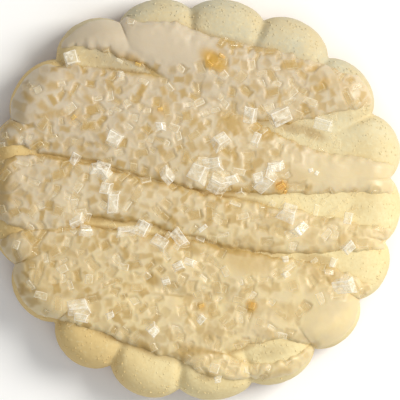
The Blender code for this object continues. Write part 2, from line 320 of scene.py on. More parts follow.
@dataclass(frozen=True)
class Top:
    """The bare top of the biscuit: a low dome with a rounded rim and a pillow at each flute."""

    outline: Outline
    edge_height: float = 4.4 * MM
    rim_height: float = 7.5 * MM
    dome_rise: float = 0.6 * MM
    rounding: float = 0.13
    crease_depth: float = 0.5 * MM
    crease_width: float = 0.15
    pillow_rise: float = 0.35 * MM
    pillow_span: tuple[float, float] = (0.76, 0.94)
    rim_span: tuple[float, float] = (0.965, 0.998)
    waviness: Ripple = Ripple(0.16 * MM, 5.0 * MM)
    most_lean: float = 1.45

    def profile(self, share: Array) -> Array:
        """The height of the plain turned top.

        Args:
            share: the share of the way out.

        Returns:
            The height at each.
        """
        inner = 1.0 - self.rounding
        dome = self.rim_height + self.dome_rise * (1.0 - (share / inner) ** 2)
        inward = np.clip((1.0 - share) / self.rounding, 0.0, 1.0)
        rim = self.edge_height + (self.rim_height - self.edge_height) * np.sqrt(
            1.0 - (1.0 - inward) ** 2
        )
        return np.where(share < inner, dome, rim)

    def height(self, share: Array, angle: Array) -> Array:
        """The height of the top at a share of the way out and an angle.

        Args:
            share: the share of the way out.
            angle: where, in radians.

        Returns:
            The height at each spot.
        """
        off_tip = self.outline.place(angle)[1]
        x, y = self.outline.spot(share, angle)
        return (
            self.profile(share)
            + self.near_rim(share) * self.pillow_rise * (1.0 - off_tip**2)
            - self.crease(share, angle)
            + self.waviness.at(rows(x, y))
        )

    def near_rim(self, share: Array) -> Array:
        """1 where the flutes show in the top, and 0 further in and on the rim's last turn."""
        return smooth_step(*self.pillow_span, share) * (1.0 - smooth_step(*self.rim_span, share))

    def crease(self, share: Array, angle: Array) -> Array:
        """How deep the crease is that runs inwards from each notch.

        Args:
            share: the share of the way out.
            angle: where, in radians.

        Returns:
            Its depth at each spot.
        """
        off_tip = self.outline.place(angle)[1]
        line = np.exp(-(((1.0 - off_tip) / self.crease_width) ** 2))
        return self.near_rim(share) * self.crease_depth * line

    def round_the_rim(self, share: Array) -> Array:
        """Bends a flat share of the way out down over the rim, so that lengths stay true.

        Args:
            share: the share as if the top went on flat.

        Returns:
            The share on the bent rim, never quite 1.
        """
        inner = 1.0 - self.rounding
        lean = np.clip((share - inner) / self.rounding, 0.0, self.most_lean)
        return np.where(share < inner, share, inner + self.rounding * np.sin(lean))


@dataclass(frozen=True)
class Drizzle:
    """The icing's bands, each from left to right as (x, y, half width) in millimetres."""

    bands: tuple = (
        ((-18.4, 18.8, 1.2), (-15.3, 20.8, 1.8), (-11.8, 21.2, 2.6), (-7.6, 19.9, 2.5),
         (-3.4, 18.9, 3.3), (1.6, 16.5, 3.8), (9.1, 14.2, 4.6), (15.0, 13.6, 3.4),
         (21.2, 13.4, 1.8), (26.0, 14.2, 1.3)),
        ((-28.5, 7.4, 2.4), (-24.6, 9.6, 3.6), (-20.0, 11.4, 5.4), (-11.8, 10.5, 5.8),
         (-5.0, 9.0, 6.1), (0.7, 6.8, 5.5), (7.0, 5.1, 4.3), (13.2, 3.7, 2.9),
         (20.5, 3.0, 2.3), (29.0, 2.2, 2.0)),
        ((-29.0, 1.8, 3.4), (-23.0, 1.2, 4.2), (-17.6, 0.6, 4.7), (-13.4, 1.0, 3.2),
         (-6.8, -0.1, 2.8), (0.7, -2.0, 2.8), (6.6, -3.3, 3.1), (13.2, -4.2, 2.6),
         (20.0, -4.6, 1.8), (28.5, -5.0, 1.5)),
        ((-27.5, -7.4, 2.4), (-21.8, -7.9, 4.0), (-15.0, -7.9, 4.4), (-8.9, -8.0, 4.0),
         (-2.4, -8.5, 3.5), (4.0, -9.6, 3.5), (9.5, -10.9, 3.6), (15.5, -11.4, 3.4),
         (21.0, -12.7, 2.3), (26.0, -14.2, 1.5)),
        ((-24.0, -11.4, 1.4), (-18.4, -12.6, 2.1), (-13.0, -13.0, 2.9), (-6.8, -14.6, 3.6),
         (-0.5, -16.2, 4.0), (5.4, -15.6, 3.0), (10.7, -14.7, 2.5), (16.6, -15.6, 2.6),
         (23.5, -15.2, 1.6)),
        ((-3.0, -17.5, 1.4), (2.0, -20.2, 1.7), (7.0, -21.5, 1.0), (13.2, -20.6, 1.2),
         (17.6, -17.6, 1.8), (20.0, -15.6, 0.9)),
    )
    thickness: float = 1.25 * MM
    spread: float = 1.0 * MM
    route_points: int = 19
    end_steps: float = 2.5
    tip_width: float = 0.3 * MM
    blend: float = 0.35 * MM
    merged_blend: float = 4.0
    outer_fall: float = 1.6
    outside: float = -0.6 * MM

    @cache
    def route(self, index: int) -> Array:
        """A smooth row of (x, y, half width) through a band's stops.

        Args:
            index: which band.

        Returns:
            The route's points, with the half width drawn in at both ends.
        """
        stops = np.array(self.bands[index]) * MM
        ends = 2.0 * stops[:1] - stops[1:2], 2.0 * stops[-1:] - stops[-2:-1]
        stops = np.concatenate([ends[0], stops, ends[1]])
        spans = len(stops) - 3
        found = []
        for step in range(self.route_points):
            along = step * spans / (self.route_points - 1)
            span = min(int(along), spans - 1)
            t = along - span
            a, b, c, d = stops[span : span + 4]
            point = 0.5 * (
                2.0 * b
                + (c - a) * t
                + (2.0 * a - 5.0 * b + 4.0 * c - d) * t**2
                + (3.0 * b - a - 3.0 * c + d) * t**3
            )
            to_end = min(step, self.route_points - 1 - step) / self.end_steps
            point[2] *= math.sqrt(1.0 - (1.0 - min(to_end, 1.0)) ** 2)
            point[2] = max(point[2], self.tip_width)
            found.append(point)
        return np.array(found)

    def nearest(self, index: int, x: Array, y: Array) -> tuple[Array, Array]:
        """The distance from each spot to a band's route, and the half width there.

        Args:
            index: which band.
            x: the spots' x.
            y: their y.

        Returns:
            Both, at each spot.
        """
        route = self.route(index)
        best = np.full(np.shape(x), np.inf)
        width = np.full(np.shape(x), self.tip_width)
        for start, end in zip(route, route[1:]):
            link = end - start
            along = ((x - start[0]) * link[0] + (y - start[1]) * link[1]) / (link[:2] @ link[:2])
            along = np.clip(along, 0.0, 1.0)
            off = np.hypot(x - start[0] - along * link[0], y - start[1] - along * link[1])
            width = np.where(off < best, start[2] + along * link[2], width)
            best = np.minimum(best, off)
        return best, width

    def depth(
        self,
        x: Array,
        y: Array,
        wobble: Array | float = 0.0,
        bands: tuple = (),
        lowest: float = outside,
        merged: Array | float = 0.0,
    ) -> Array:
        """How thick the icing lies over each spot, and below nothing outside it.

        Args:
            x: the spots' x.
            y: their y.
            wobble: how far every second band's edge is pulled in at each spot, and the others' out.
            bands: the bands to look at, or all.
            lowest: where the fall outside the edge stops.
            merged: how far the bands ran together at each spot, from 0 to 1.

        Returns:
            The thickness, which goes on falling outside the edge.
        """
        total = np.full(np.shape(x), lowest)
        blend = self.blend * (1.0 + self.merged_blend * merged)
        for index in bands or range(len(self.bands)):
            off, width = self.nearest(index, x, y)
            off = off + (wobble if index % 2 else -wobble)
            crown = self.thickness * width / (width + self.spread)
            inside = crown * np.sqrt(np.clip(1.0 - (off / width) ** 2, 0.0, None))
            lens = np.where(off < width, inside, -self.outer_fall * (off - width))
            total = smooth_max(total, np.maximum(lens, lowest), blend)
        return total


class Settling(Enum):
    """How a sugar crystal came to rest in the wet icing."""

    LOOSE = "lies on top"
    PROUD = "shows its upper face above the icing"
    SUNK = "shows its upper face a little below the icing"
    BURIED = "lies under a film of icing"


@dataclass(frozen=True)
class Crystal:
    """One sugar crystal: where its middle is seen from above, its sizes, and how it lies."""

    x: float
    y: float
    size: tuple[float, float, float]
    turn: float
    tilt: tuple[float, float]
    settling: Settling
    shows: float
    tint: float

    def outside(self, x: Array, y: Array) -> Array:
        """How far each spot is outside the crystal's outline, less than nothing inside it.

        Args:
            x: the spots' x.
            y: their y.

        Returns:
            The distance at each spot.
        """
        cosine, sine = math.cos(self.turn), math.sin(self.turn)
        along = np.abs((x - self.x) * cosine + (y - self.y) * sine) - self.size[0] / 2.0
        across = np.abs((y - self.y) * cosine - (x - self.x) * sine) - self.size[1] / 2.0
        beyond = np.hypot(np.maximum(along, 0.0), np.maximum(across, 0.0))
        return beyond + np.minimum(np.maximum(along, across), 0.0)


@dataclass(frozen=True)
class SugarScatter:
    """Where the sugar lies: the loose crystals by their places, the rest by seeded draws."""

    outline: Outline
    drizzle: Drizzle
    loose: tuple = (
        (-15.1, 17.5, 2.0, 1.8, 20), (-9.8, 7.6, 2.2, 2.0, 60), (7.1, 10.4, 2.1, 1.5, 80),
        (10.5, 10.3, 2.4, 2.2, 25), (16.1, 9.3, 2.2, 1.7, -15), (3.4, 7.2, 2.4, 1.7, 35),
        (0.5, 3.1, 2.5, 2.2, 70), (2.3, 4.4, 2.2, 1.8, 10), (2.9, 1.7, 2.7, 2.2, -25),
        (8.9, 2.2, 2.9, 2.1, 45), (10.2, 4.2, 2.0, 1.2, 5), (-3.3, 2.9, 2.0, 1.4, -50),
        (-11.6, 3.7, 2.2, 1.6, -20), (-10.0, -0.4, 2.7, 1.7, 85), (-14.6, -2.6, 1.9, 1.2, 30),
        (-8.6, -4.1, 2.3, 1.1, 3), (-6.4, -3.4, 2.1, 1.9, -25), (-4.3, -5.2, 2.2, 1.6, -38),
        (-1.8, -4.8, 2.4, 1.6, -52), (11.6, -1.6, 2.5, 2.1, -18), (13.1, -3.7, 2.1, 1.2, 42),
        (18.7, -10.9, 2.4, 2.1, 15), (-14.5, -13.4, 2.8, 1.6, 8), (-5.0, -16.2, 1.8, 1.3, 40),
    )
    small_loose: tuple = (
        (-9.1, 15.7, 0.9, 0.8, 30), (-4.1, 9.1, 1.2, 1.1, 5), (7.6, 7.4, 1.6, 1.2, 70),
        (-14.9, 4.9, 1.6, 1.2, 60), (-12.4, 3.9, 1.6, 1.3, 15), (-10.9, 3.2, 1.7, 1.4, 50),
        (-10.8, 1.4, 1.6, 1.3, 75), (4.9, 2.5, 1.6, 1.2, 20), (10.2, 4.1, 1.8, 1.0, 15),
        (-13.4, -3.9, 1.8, 1.3, 10), (-6.4, -3.5, 1.7, 1.4, 60), (1.0, -3.6, 1.5, 0.6, 35),
        (-2.0, -8.3, 1.6, 1.2, 25), (-0.5, -7.9, 1.5, 1.0, -20), (-3.6, -10.2, 1.1, 1.0, 15),
        (19.2, -2.5, 1.6, 1.1, 80), (19.2, -5.9, 1.6, 1.3, 40), (17.3, -7.8, 1.4, 0.9, 70),
        (11.4, -7.4, 1.0, 0.9, 10), (11.4, -9.4, 0.9, 0.8, 35), (-14.0, -14.8, 1.6, 1.2, -10),
        (-10.5, -14.4, 1.2, 0.9, 20), (0.8, -14.9, 1.2, 1.0, 50), (3.0, -22.4, 1.1, 0.8, 5),
        (14.5, 3.6, 0.7, 0.5, 20), (15.3, 3.3, 0.6, 0.5, 60), (8.0, 2.6, 1.4, 1.2, 10),
    )
    amber: tuple = (
        (10.9, 1.7, 1.2, 0.9, 30, 1.0), (11.3, 1.0, 0.7, 0.5, 80, 1.0),
        (7.1, -13.3, 1.1, 0.8, 75, 0.5), (0.9, -13.3, 0.8, 0.6, 20, 0.3),
        (2.0, 16.9, 0.9, 0.5, -40, 0.2), (3.4, 17.9, 0.8, 0.5, -30, 0.1),
        (-7.0, 16.9, 0.8, 0.5, -20, 0.1), (-4.2, 11.3, 0.7, 0.5, 10, 0.0),
        (-15.0, 10.2, 0.7, 0.5, 40, 0.0),
    )
    amber_lean: float = 0.3
    amber_shows: float = 0.6
    loose_height: float = 1.4 * MM
    loose_height_spread: float = 0.15
    loose_tallest: float = 0.9
    loose_sink: float = 0.3
    loose_lean: float = math.radians(17)
    sunk_count: int = 118
    sunk_lengths: tuple[float, float] = (1.2 * MM, 2.1 * MM)
    sunk_widths: tuple[float, float] = (0.8 * MM, 1.3 * MM)
    sunk_shows: tuple[float, float] = (0.17 * MM, 0.35 * MM)
    sunk_tilt: float = math.radians(16)
    sunk_spacing: float = 2.0 * MM
    sunk_rim: float = 0.93
    iced_enough: float = 0.45 * MM
    seed: int = 17
    plain: tuple = (
        (-13.0, 20.3, 4.0, 1.8), (-4.0, 19.3, 7.0, 3.0), (19.0, 3.6, 7.5, 2.8),
        (7.2, -7.6, 4.0, 2.2), (18.5, -15.2, 5.5, 3.2), (12.0, -12.2, 2.6, 1.3),
        (-2.5, -12.6, 1.6, 1.2),
    )
    more_tries: int = 14000
    more_spacing: float = 1.0 * MM
    more_rim: float = 0.96
    more_lengths: tuple[float, float] = (0.8 * MM, 1.9 * MM)
    more_widths: tuple[float, float] = (0.6 * MM, 1.2 * MM)
    more_height: float = 0.8 * MM
    more_tilt: float = 0.12
    more_shows: tuple[float, float] = (-0.07 * MM, 0.03 * MM)
    dry_rim: float = 0.8
    dry_share: float = 0.4
    dry_spacing: float = 1.25
    dry_shows: tuple[float, float] = (0.15 * MM, 0.4 * MM)
    thinly_iced: float = 0.3 * MM
    buried_share: float = 0.55
    proud_share: float = 0.4
    proud_shows: float = 0.5
    sunk_below: float = 0.03 * MM
    settled: float = 0.5
    pale_share: float = 0.3

    def plain_at(self, x: float, y: float) -> bool:
        """True on a stretch of icing that has no sugar.

        Args:
            x: the spot's x.
            y: its y.

        Returns:
            Whether the spot is on one.
        """
        return any(
            ((x / MM - a) / half_length) ** 2 + ((y / MM - b) / half_width) ** 2 < 1.0
            for a, b, half_length, half_width in self.plain
        )

    def loose_crystals(self) -> list[Crystal]:
        """The large crystals on top, and the smaller ones beside them.

        Returns:
            The crystals, the large ones first.
        """
        draw = random.Random(self.seed)
        found = []
        for x, y, length, width, turn in self.loose + self.small_loose:
            spread = self.loose_height_spread
            height = self.loose_height * (1.0 + draw.uniform(-spread, spread))
            lean = drawn_lean(draw, self.loose_lean)
            height = min(height, width * MM * self.loose_tallest)
            shows = height * (1.0 - self.loose_sink)
            size = (length * MM, width * MM, height)
            angle = math.radians(turn)
            found.append(
                Crystal(x * MM, y * MM, size, angle, lean, Settling.LOOSE, shows, draw.random())
            )
        return found

    def amber_crystals(self) -> list[Crystal]:
        """The few amber grains among the clear ones.

        Returns:
            The grains, as crystals.
        """
        draw = random.Random(self.seed + 3)
        found = []
        for x, y, length, width, turn, deep in self.amber:
            lean = drawn_lean(draw, self.amber_lean)
            size = (length * MM, width * MM, width * MM)
            shows = self.amber_shows * size[2]
            angle = math.radians(turn)
            found.append(
                Crystal(x * MM, y * MM, size, angle, lean, Settling.PROUD, shows, deep)
            )
        return found

    def sunk_spots(self) -> list[tuple[float, float]]:
        """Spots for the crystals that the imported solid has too, drawn in the same order.

        Returns:
            The x and y of each.
        """
        draw = random.Random(self.seed)
        taken = [(x * MM, y * MM) for x, y, *_ in self.loose]
        found: list[tuple[float, float]] = []
        while len(found) < self.sunk_count:
            share = math.sqrt(draw.random()) * self.sunk_rim
            angle = draw.uniform(0.0, math.tau)
            x, y = (float(v[0]) for v in self.outline.spot(np.array([share]), np.array([angle])))
            if any(math.hypot(x - a, y - b) < self.sunk_spacing for a, b in taken):
                continue
            if self.plain_at(x, y):
                continue
            if self.drizzle.depth(np.array([x]), np.array([y]))[0] < self.iced_enough:
                continue
            taken.append((x, y))
            found.append((x, y))
        return found

    def sunk_crystals(self) -> list[Crystal]:
        """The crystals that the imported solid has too, with their sizes and how they settled.

        Returns:
            The crystals, in the order of their spots.
        """
        draw = random.Random(self.seed + 1)
        found = []
        for x, y in self.sunk_spots():
            height = draw.uniform(*self.sunk_widths)
            size = (draw.uniform(*self.sunk_lengths), draw.uniform(*self.sunk_widths), height)
            tilt = drawn_lean(draw, self.sunk_tilt)
            turn = draw.uniform(0.0, math.pi)
            shows = draw.uniform(*self.sunk_shows)
            settling = Settling.PROUD if draw.random() < self.proud_share else Settling.SUNK
            shows = shows * self.proud_shows if settling is Settling.PROUD else -self.sunk_below
            tilt = (tilt[0] * self.settled, tilt[1] * self.settled)
            found.append(Crystal(x, y, size, turn, tilt, settling, shows, draw.random()))
        return found

    def more_crystals(self, taken: list[Crystal]) -> list[Crystal]:
        """Smaller crystals between the others, about half of them under a film of icing.

        Args:
            taken: the crystals that are already there.

        Returns:
            The crystals that fit between them.
        """
        draw = random.Random(self.seed + 2)
        tries = [
            (math.sqrt(draw.random()) * self.more_rim, draw.uniform(0.0, math.tau))
            for _ in range(self.more_tries)
        ]
        share, angle = np.array(tries).T
        x, y = self.outline.spot(share, angle)
        depth = self.drizzle.depth(x, y)
        open_to_sugar = (depth > self.thinly_iced) | (share < self.dry_rim)
        spots = np.array([(crystal.x, crystal.y) for crystal in taken])
        found = []
        for a, b, iced in zip(*(part[open_to_sugar] for part in (x, y, depth))):
            near = np.hypot(spots[:, 0] - a, spots[:, 1] - b).min()
            dry = iced < self.thinly_iced
            if near < self.more_spacing * (self.dry_spacing if dry else 1.0) or self.plain_at(a, b):
                continue
            if dry and draw.random() > self.dry_share:
                continue
            spots = np.vstack([spots, (a, b)])
            size = (
                draw.uniform(*self.more_lengths), draw.uniform(*self.more_widths), self.more_height
            )
            tilt = drawn_lean(draw, self.more_tilt)
            settling = Settling.BURIED if draw.random() < self.buried_share else Settling.SUNK
            turn, shows = draw.uniform(0.0, math.pi), draw.uniform(*self.more_shows)
            if dry:
                settling, shows = Settling.PROUD, draw.uniform(*self.dry_shows)
            found.append(Crystal(a, b, size, turn, tilt, settling, shows, draw.random()))
        return found


@dataclass(frozen=True)
class SoftOval:
    """A soft oval on the biscuit: its place and half sizes in millimetres, its turn in degrees."""

    x: float
    y: float
    length: float
    width: float
    turn: float
    strength: float
    solid_to: float = 0.4
    gone_at: float = 1.2

    def at(self, x: Array, y: Array) -> Array:
        """How strong the oval is at each spot.

        Args:
            x: the spots' x.
            y: their y.

        Returns:
            From 0 to the oval's strength.
        """
        cosine, sine = math.cos(math.radians(self.turn)), math.sin(math.radians(self.turn))
        a, b = x / MM - self.x, y / MM - self.y
        off = np.hypot(
            (a * cosine + b * sine) / self.length, (b * cosine - a * sine) / self.width
        )
        return self.strength * (1.0 - smooth_step(self.solid_to, self.gone_at, off))


def soft_ovals(*ovals: tuple) -> tuple[SoftOval, ...]:
    """The ovals of these rows of six numbers."""
    return tuple(SoftOval(*oval) for oval in ovals)


# Where an amber grain tints the icing
AMBER_STAINS = soft_ovals(
    (2.5, 17.2, 2.4, 1.3, -40.0, 0.9), (-7.4, 17.2, 1.5, 0.8, -30.0, 0.45),
    (-15.0, 10.3, 1.4, 1.2, 0.0, 0.35), (-4.2, 11.4, 1.3, 1.2, 0.0, 0.4),
    (10.9, 1.6, 1.0, 1.0, 0.0, 1.0), (7.1, -13.3, 0.8, 1.1, 0.0, 0.85),
    (18.4, -5.0, 0.7, 0.9, -30.0, 0.45), (0.9, -13.3, 0.8, 0.8, 0.0, 0.5),
    (-1.8, -4.8, 1.4, 1.0, 0.0, 0.35), (16.3, 14.5, 0.9, 0.7, 0.0, 0.5),
)

# Where the icing is thin and the bare biscuit is darker with moisture, and where shade is painted
# along the bands' lower edges, in the gaps and at the left rim
THIN_AND_SHADED_PLACES = soft_ovals(
    (7.2, -7.2, 5.0, 2.6, -8.0, 0.55), (-12.0, -2.4, 1.7, 0.8, 0.0, 0.9),
    (-9.4, -2.7, 1.6, 0.5, 0.0, 0.8), (11.4, 9.2, 3.2, 0.9, -18.0, 1.0),
    (1.8, -17.0, 1.1, 1.2, 0.0, 0.7), (2.1, -13.9, 0.6, 1.3, 0.0, 0.8),
    (-5.2, -9.9, 1.3, 1.0, -30.0, 0.95), (-2.7, -10.7, 1.0, 0.6, 0.0, 0.8),
    (-6.0, -18.5, 2.2, 0.9, -35.0, 0.9), (1.6, -22.0, 1.4, 0.7, 0.0, 0.8),
    (20.4, -1.2, 1.2, 0.9, 0.0, 0.3), (15.0, -7.4, 2.8, 0.8, -6.0, 0.9),
    (17.0, -9.6, 0.9, 1.4, 0.0, 0.8), (9.4, -2.6, 1.2, 1.3, 0.0, 0.4),
    (16.0, -9.1, 2.8, 2.0, -20.0, 0.6), (-10.5, 17.3, 4.0, 1.6, -12.0, 0.6),
    (6.2, 1.0, 3.6, 0.7, -10.0, 0.9), (-6.5, 2.2, 2.6, 0.6, -22.0, 0.8),
    (4.6, 9.6, 2.6, 1.3, -40.0, 0.9), (8.6, 8.2, 1.6, 1.2, -20.0, 0.95),
    (14.6, 8.3, 2.4, 0.8, -25.0, 1.0), (-17.5, 5.4, 2.6, 0.6, -8.0, 0.7),
    (4.6, -6.3, 4.6, 0.8, -14.0, 0.9), (5.2, -1.2, 1.1, 1.3, 0.0, 0.6),
    (-22.8, -4.0, 1.4, 1.3, 0.0, 0.6), (9.3, -19.0, 2.6, 1.2, 8.0, 0.5),
    (12.0, 3.0, 3.0, 1.2, -10.0, 0.35), (-2.0, -5.5, 5.0, 0.9, -20.0, 0.8),
    (-24.2, 2.6, 1.9, 6.0, 0.0, 0.9), (-17.5, -8.5, 7.0, 5.0, 0.0, 0.3),
)

# Where neighbouring bands of icing ran together
MERGED = soft_ovals(
    (0.6, 13.3, 8.0, 2.2, -27.0, 1.0), (-10.5, -11.2, 9.5, 1.8, 0.0, 1.0),
    (4.5, -12.9, 6.5, 1.5, -6.0, 0.8),
)


def strongest(soft_ovals: tuple[SoftOval, ...], x: Array, y: Array) -> Array:
    """The strongest of these ovals at each spot."""
    return np.max([stain.at(x, y) for stain in soft_ovals], axis=0)


@dataclass(frozen=True)
class MoistShade:
    """Where the bare biscuit is darker and browner beside the icing, most of all on the left:
    partly moisture, partly painted shade in the gaps.
    """

    drizzle: Drizzle
    reach: tuple[float, float] = (-1.3 * MM, -0.1 * MM)
    lowest: float = -1.6 * MM
    rim: tuple[float, float] = (23.0 * MM, 18.0 * MM)
    right: tuple[float, float] = (14.0 * MM, 2.0 * MM)
    least: float = 0.06
    patch_middle: float = 0.85
    patches: Ripple = Ripple(0.5, 2.2 * MM, 9.0)
    thin_strength: float = 0.55
    top_only: tuple[float, float] = (5.0 * MM, 7.0 * MM)

    def paint_on(self, mesh: bpy.types.Mesh) -> None:
        """Stores the moisture and painted shade at each vertex, under the name that the baked
        finish reads.

        Args:
            mesh: the mesh to paint.
        """
        points = points_of(mesh)
        x, y, z = points.T
        depth = self.drizzle.depth(x, y, lowest=self.lowest)
        # Painted shade beside the icing's edges, partly moisture; less at the rim and to the right,
        # where the light falls
        near = smooth_step(*self.reach, depth) * (self.patch_middle + self.patches.at(points))
        inner = smooth_step(*self.rim, np.hypot(x, y)) * smooth_step(*self.right, x)
        beside = near * (self.least + (1.0 - self.least) * inner)
        # The thin and shaded places darken the bare biscuit too: painted shade in the gaps and at
        # the rim
        thin = self.thin_strength * strongest(THIN_AND_SHADED_PLACES, x, y)
        paint(mesh, "beside", np.maximum(beside, thin) * smooth_step(*self.top_only, z))


@dataclass(frozen=True)
class Drift:
    """A change across the biscuit: the way it goes, and where along it it starts and ends."""

    way: Place
    start: float
    end: float


@dataclass(frozen=True)
class Speckle:
    """Noise made a share: its width, the span in which it rises, what it rises between."""

    width: float
    rise: tuple[float, float]
    ends: tuple[float, float]
    detail: float = 2.0
    rough: float = 0.5


@dataclass(frozen=True)
class Grit:
    """Relief too fine to model, which only the light shows: its width, depth and strength."""

    width: float
    depth: float
    strength: float
    detail: float = 2.0
    rough: float = 0.5


class Step(Enum):
    """A kind of arithmetic on numbers in a material."""

    TIMES = "MULTIPLY"
    TIMES_PLUS = "MULTIPLY_ADD"
    LARGER = "MAXIMUM"


class Weave:
    """A material under construction: its nodes and the wires between them."""

    def __init__(self, name: str) -> None:
        """Starts a material with a plain Principled shader.

        Args:
            name: the material's name.
        """
        self.material = bpy.data.materials.new(name)
        self.material.use_nodes = True
        self.tree = self.material.node_tree
        self.shader = self.tree.nodes["Principled BSDF"]
        self.place = self.tree.nodes.new("ShaderNodeTexCoord").outputs["Object"]

    def set(self, **values: object) -> None:
        """Sets the shader's own sockets: an underscore stands for a space in a socket's name."""
        for name, value in values.items():
            self.shader.inputs[name.replace("_", " ")].default_value = value

    def wire(self, source: Socket, target: Socket) -> None:
        """Joins an output to an input."""
        self.tree.links.new(source, target)

    def noise(self, width: float, detail: float, rough: float) -> Socket:
        """Noise with features of this width, from 0 to 1.

        Args:
            width: the width of its features.
            detail: how many finer noises lie on it.
            rough: how strong those are.

        Returns:
            The noise.
        """
        node = self.tree.nodes.new("ShaderNodeTexNoise")
        node.inputs["Scale"].default_value = 1.0 / width
        node.inputs["Detail"].default_value = detail
        node.inputs["Roughness"].default_value = rough
        self.wire(self.place, node.inputs["Vector"])
        return node.outputs["Fac"]

    def speckle(self, speckle: Speckle) -> Socket:
        """The share that a speckle gives at each place."""
        found = self.noise(speckle.width, speckle.detail, speckle.rough)
        return self.span(found, *speckle.rise, speckle.ends)

    def grains(self, spacing: float) -> Socket:
        """The distance to the nearest of many scattered grains.

        Args:
            spacing: about how far apart they lie.

        Returns:
            The distance, in spacings.
        """
        node = self.tree.nodes.new("ShaderNodeTexVoronoi")
        node.inputs["Scale"].default_value = 1.0 / spacing
        self.wire(self.place, node.inputs["Vector"])
        return node.outputs["Distance"]

    def attribute(self, name: str) -> Socket:
        """A number that the mesh holds at each vertex.

        Args:
            name: the name it is held under.

        Returns:
            The number.
        """
        node = self.tree.nodes.new("ShaderNodeAttribute")
        node.attribute_name = name
        return node.outputs["Fac"]

    def towards(self, drift: Drift) -> Socket:
        """Rises from 0 to 1 across the biscuit.

        Args:
            drift: which way, from where and to where.

        Returns:
            The share of the way.
        """
        node = self.tree.nodes.new("ShaderNodeVectorMath")
        node.operation = "DOT_PRODUCT"
        node.inputs[1].default_value = drift.way
        self.wire(self.place, node.inputs[0])
        return self.span(node.outputs["Value"], drift.start, drift.end, (0.0, 1.0))

    def height(self) -> Socket:
        """The height over the base.

        Returns:
            The height in metres.
        """
        node = self.tree.nodes.new("ShaderNodeSeparateXYZ")
        self.wire(self.place, node.inputs["Vector"])
        return node.outputs["Z"]

    def span(self, source: Socket, low: float, high: float, to: tuple[float, float]) -> Socket:
        """Maps the span from low to high onto another, and holds it there.

        Args:
            source: the number to map.
            low: where the span starts.
            high: where it ends.
            to: the ends of the other span.

        Returns:
            The mapped number.
        """
        node = self.tree.nodes.new("ShaderNodeMapRange")
        node.interpolation_type = "SMOOTHSTEP"
        node.inputs["From Min"].default_value = low
        node.inputs["From Max"].default_value = high
        node.inputs["To Min"].default_value = to[0]
        node.inputs["To Max"].default_value = to[1]
        self.wire(source, node.inputs["Value"])
        return node.outputs["Result"]

    def mix(self, share: Socket, first: Socket | Colour, second: Socket | Colour) -> Socket:
        """Mixes two colours by a share.

        Args:
            share: how much of the second there is.
            first: one colour.
            second: the other.

        Returns:
            The mixed colour.
        """
        node = self.tree.nodes.new("ShaderNodeMix")
        node.data_type = "RGBA"
        self.wire(share, node.inputs["Factor"])
        for number, colour in ((COLOUR_A, first), (COLOUR_B, second)):
            if isinstance(colour, tuple):
                node.inputs[number].default_value = (*colour, 1.0)
            else:
                self.wire(colour, node.inputs[number])
        return node.outputs[COLOUR_OUT]

    def work(
        self,
        kind: Step,
        first: Socket,
        second: Socket | float,
        third: Socket | float = 0.0,
    ) -> Socket:
        """One step of arithmetic on numbers.

        Args:
            kind: what is done.
            first: the first number.
            second: the next.
            third: the one to add, where the kind adds one.

        Returns:
            The result.
        """
        node = self.tree.nodes.new("ShaderNodeMath")
        node.operation = kind.value
        for socket, value in zip(node.inputs, (first, second, third)):
            if isinstance(value, float):
                socket.default_value = value
            else:
                self.wire(value, socket)
        return node.outputs[0]

    def shadow_ray(self) -> Socket:
        """1 where the light itself is followed, for sugar lets most of it through."""
        return self.tree.nodes.new("ShaderNodeLightPath").outputs["Is Shadow Ray"]

    def behind(self) -> Socket:
        """1 on a face that is seen from inside, through the rest of its crystal."""
        return self.tree.nodes.new("ShaderNodeNewGeometry").outputs["Backfacing"]

    def blend(self, share: Socket, first: Socket, second: float) -> Socket:
        """Goes from one number to another by a share.

        Args:
            share: how much of the second there is.
            first: one number.
            second: the other.

        Returns:
            The number between them.
        """
        node = self.tree.nodes.new("ShaderNodeMix")
        self.wire(share, node.inputs["Factor"])
        self.wire(first, node.inputs[NUMBER_A])
        node.inputs[NUMBER_B].default_value = second
        return node.outputs[NUMBER_OUT]

    def bump(
        self,
        height: Socket,
        depth: float,
        strength: float,
        under: Socket | None = None,
    ) -> Socket:
        """A bump of this depth in metres, on another if there is one.

        Args:
            height: the relief, from 0 to 1.
            depth: how deep it is, in metres.
            strength: how much of it shows.
            under: the bump below it, if any.

        Returns:
            The bent normal.
        """
        node = self.tree.nodes.new("ShaderNodeBump")
        node.inputs["Distance"].default_value = depth
        node.inputs["Strength"].default_value = strength
        self.wire(height, node.inputs["Height"])
        if under is not None:
            self.wire(under, node.inputs["Normal"])
        return node.outputs["Normal"]

    def grit(self, grit: Grit, under: Socket | None = None) -> Socket:
        """The bump of fine noise."""
        found = self.noise(grit.width, grit.detail, grit.rough)
        return self.bump(found, grit.depth, grit.strength, under)

    def finish(self, **sockets: Socket) -> bpy.types.Material:
        """Wires these into the shader's sockets of the same names and gives the material.

        Args:
            **sockets: what feeds each socket, an underscore for a space in its name.

        Returns:
            The finished material.
        """
        for name, socket in sockets.items():
            self.wire(socket, self.shader.inputs[name.replace("_", " ")])
        return self.material


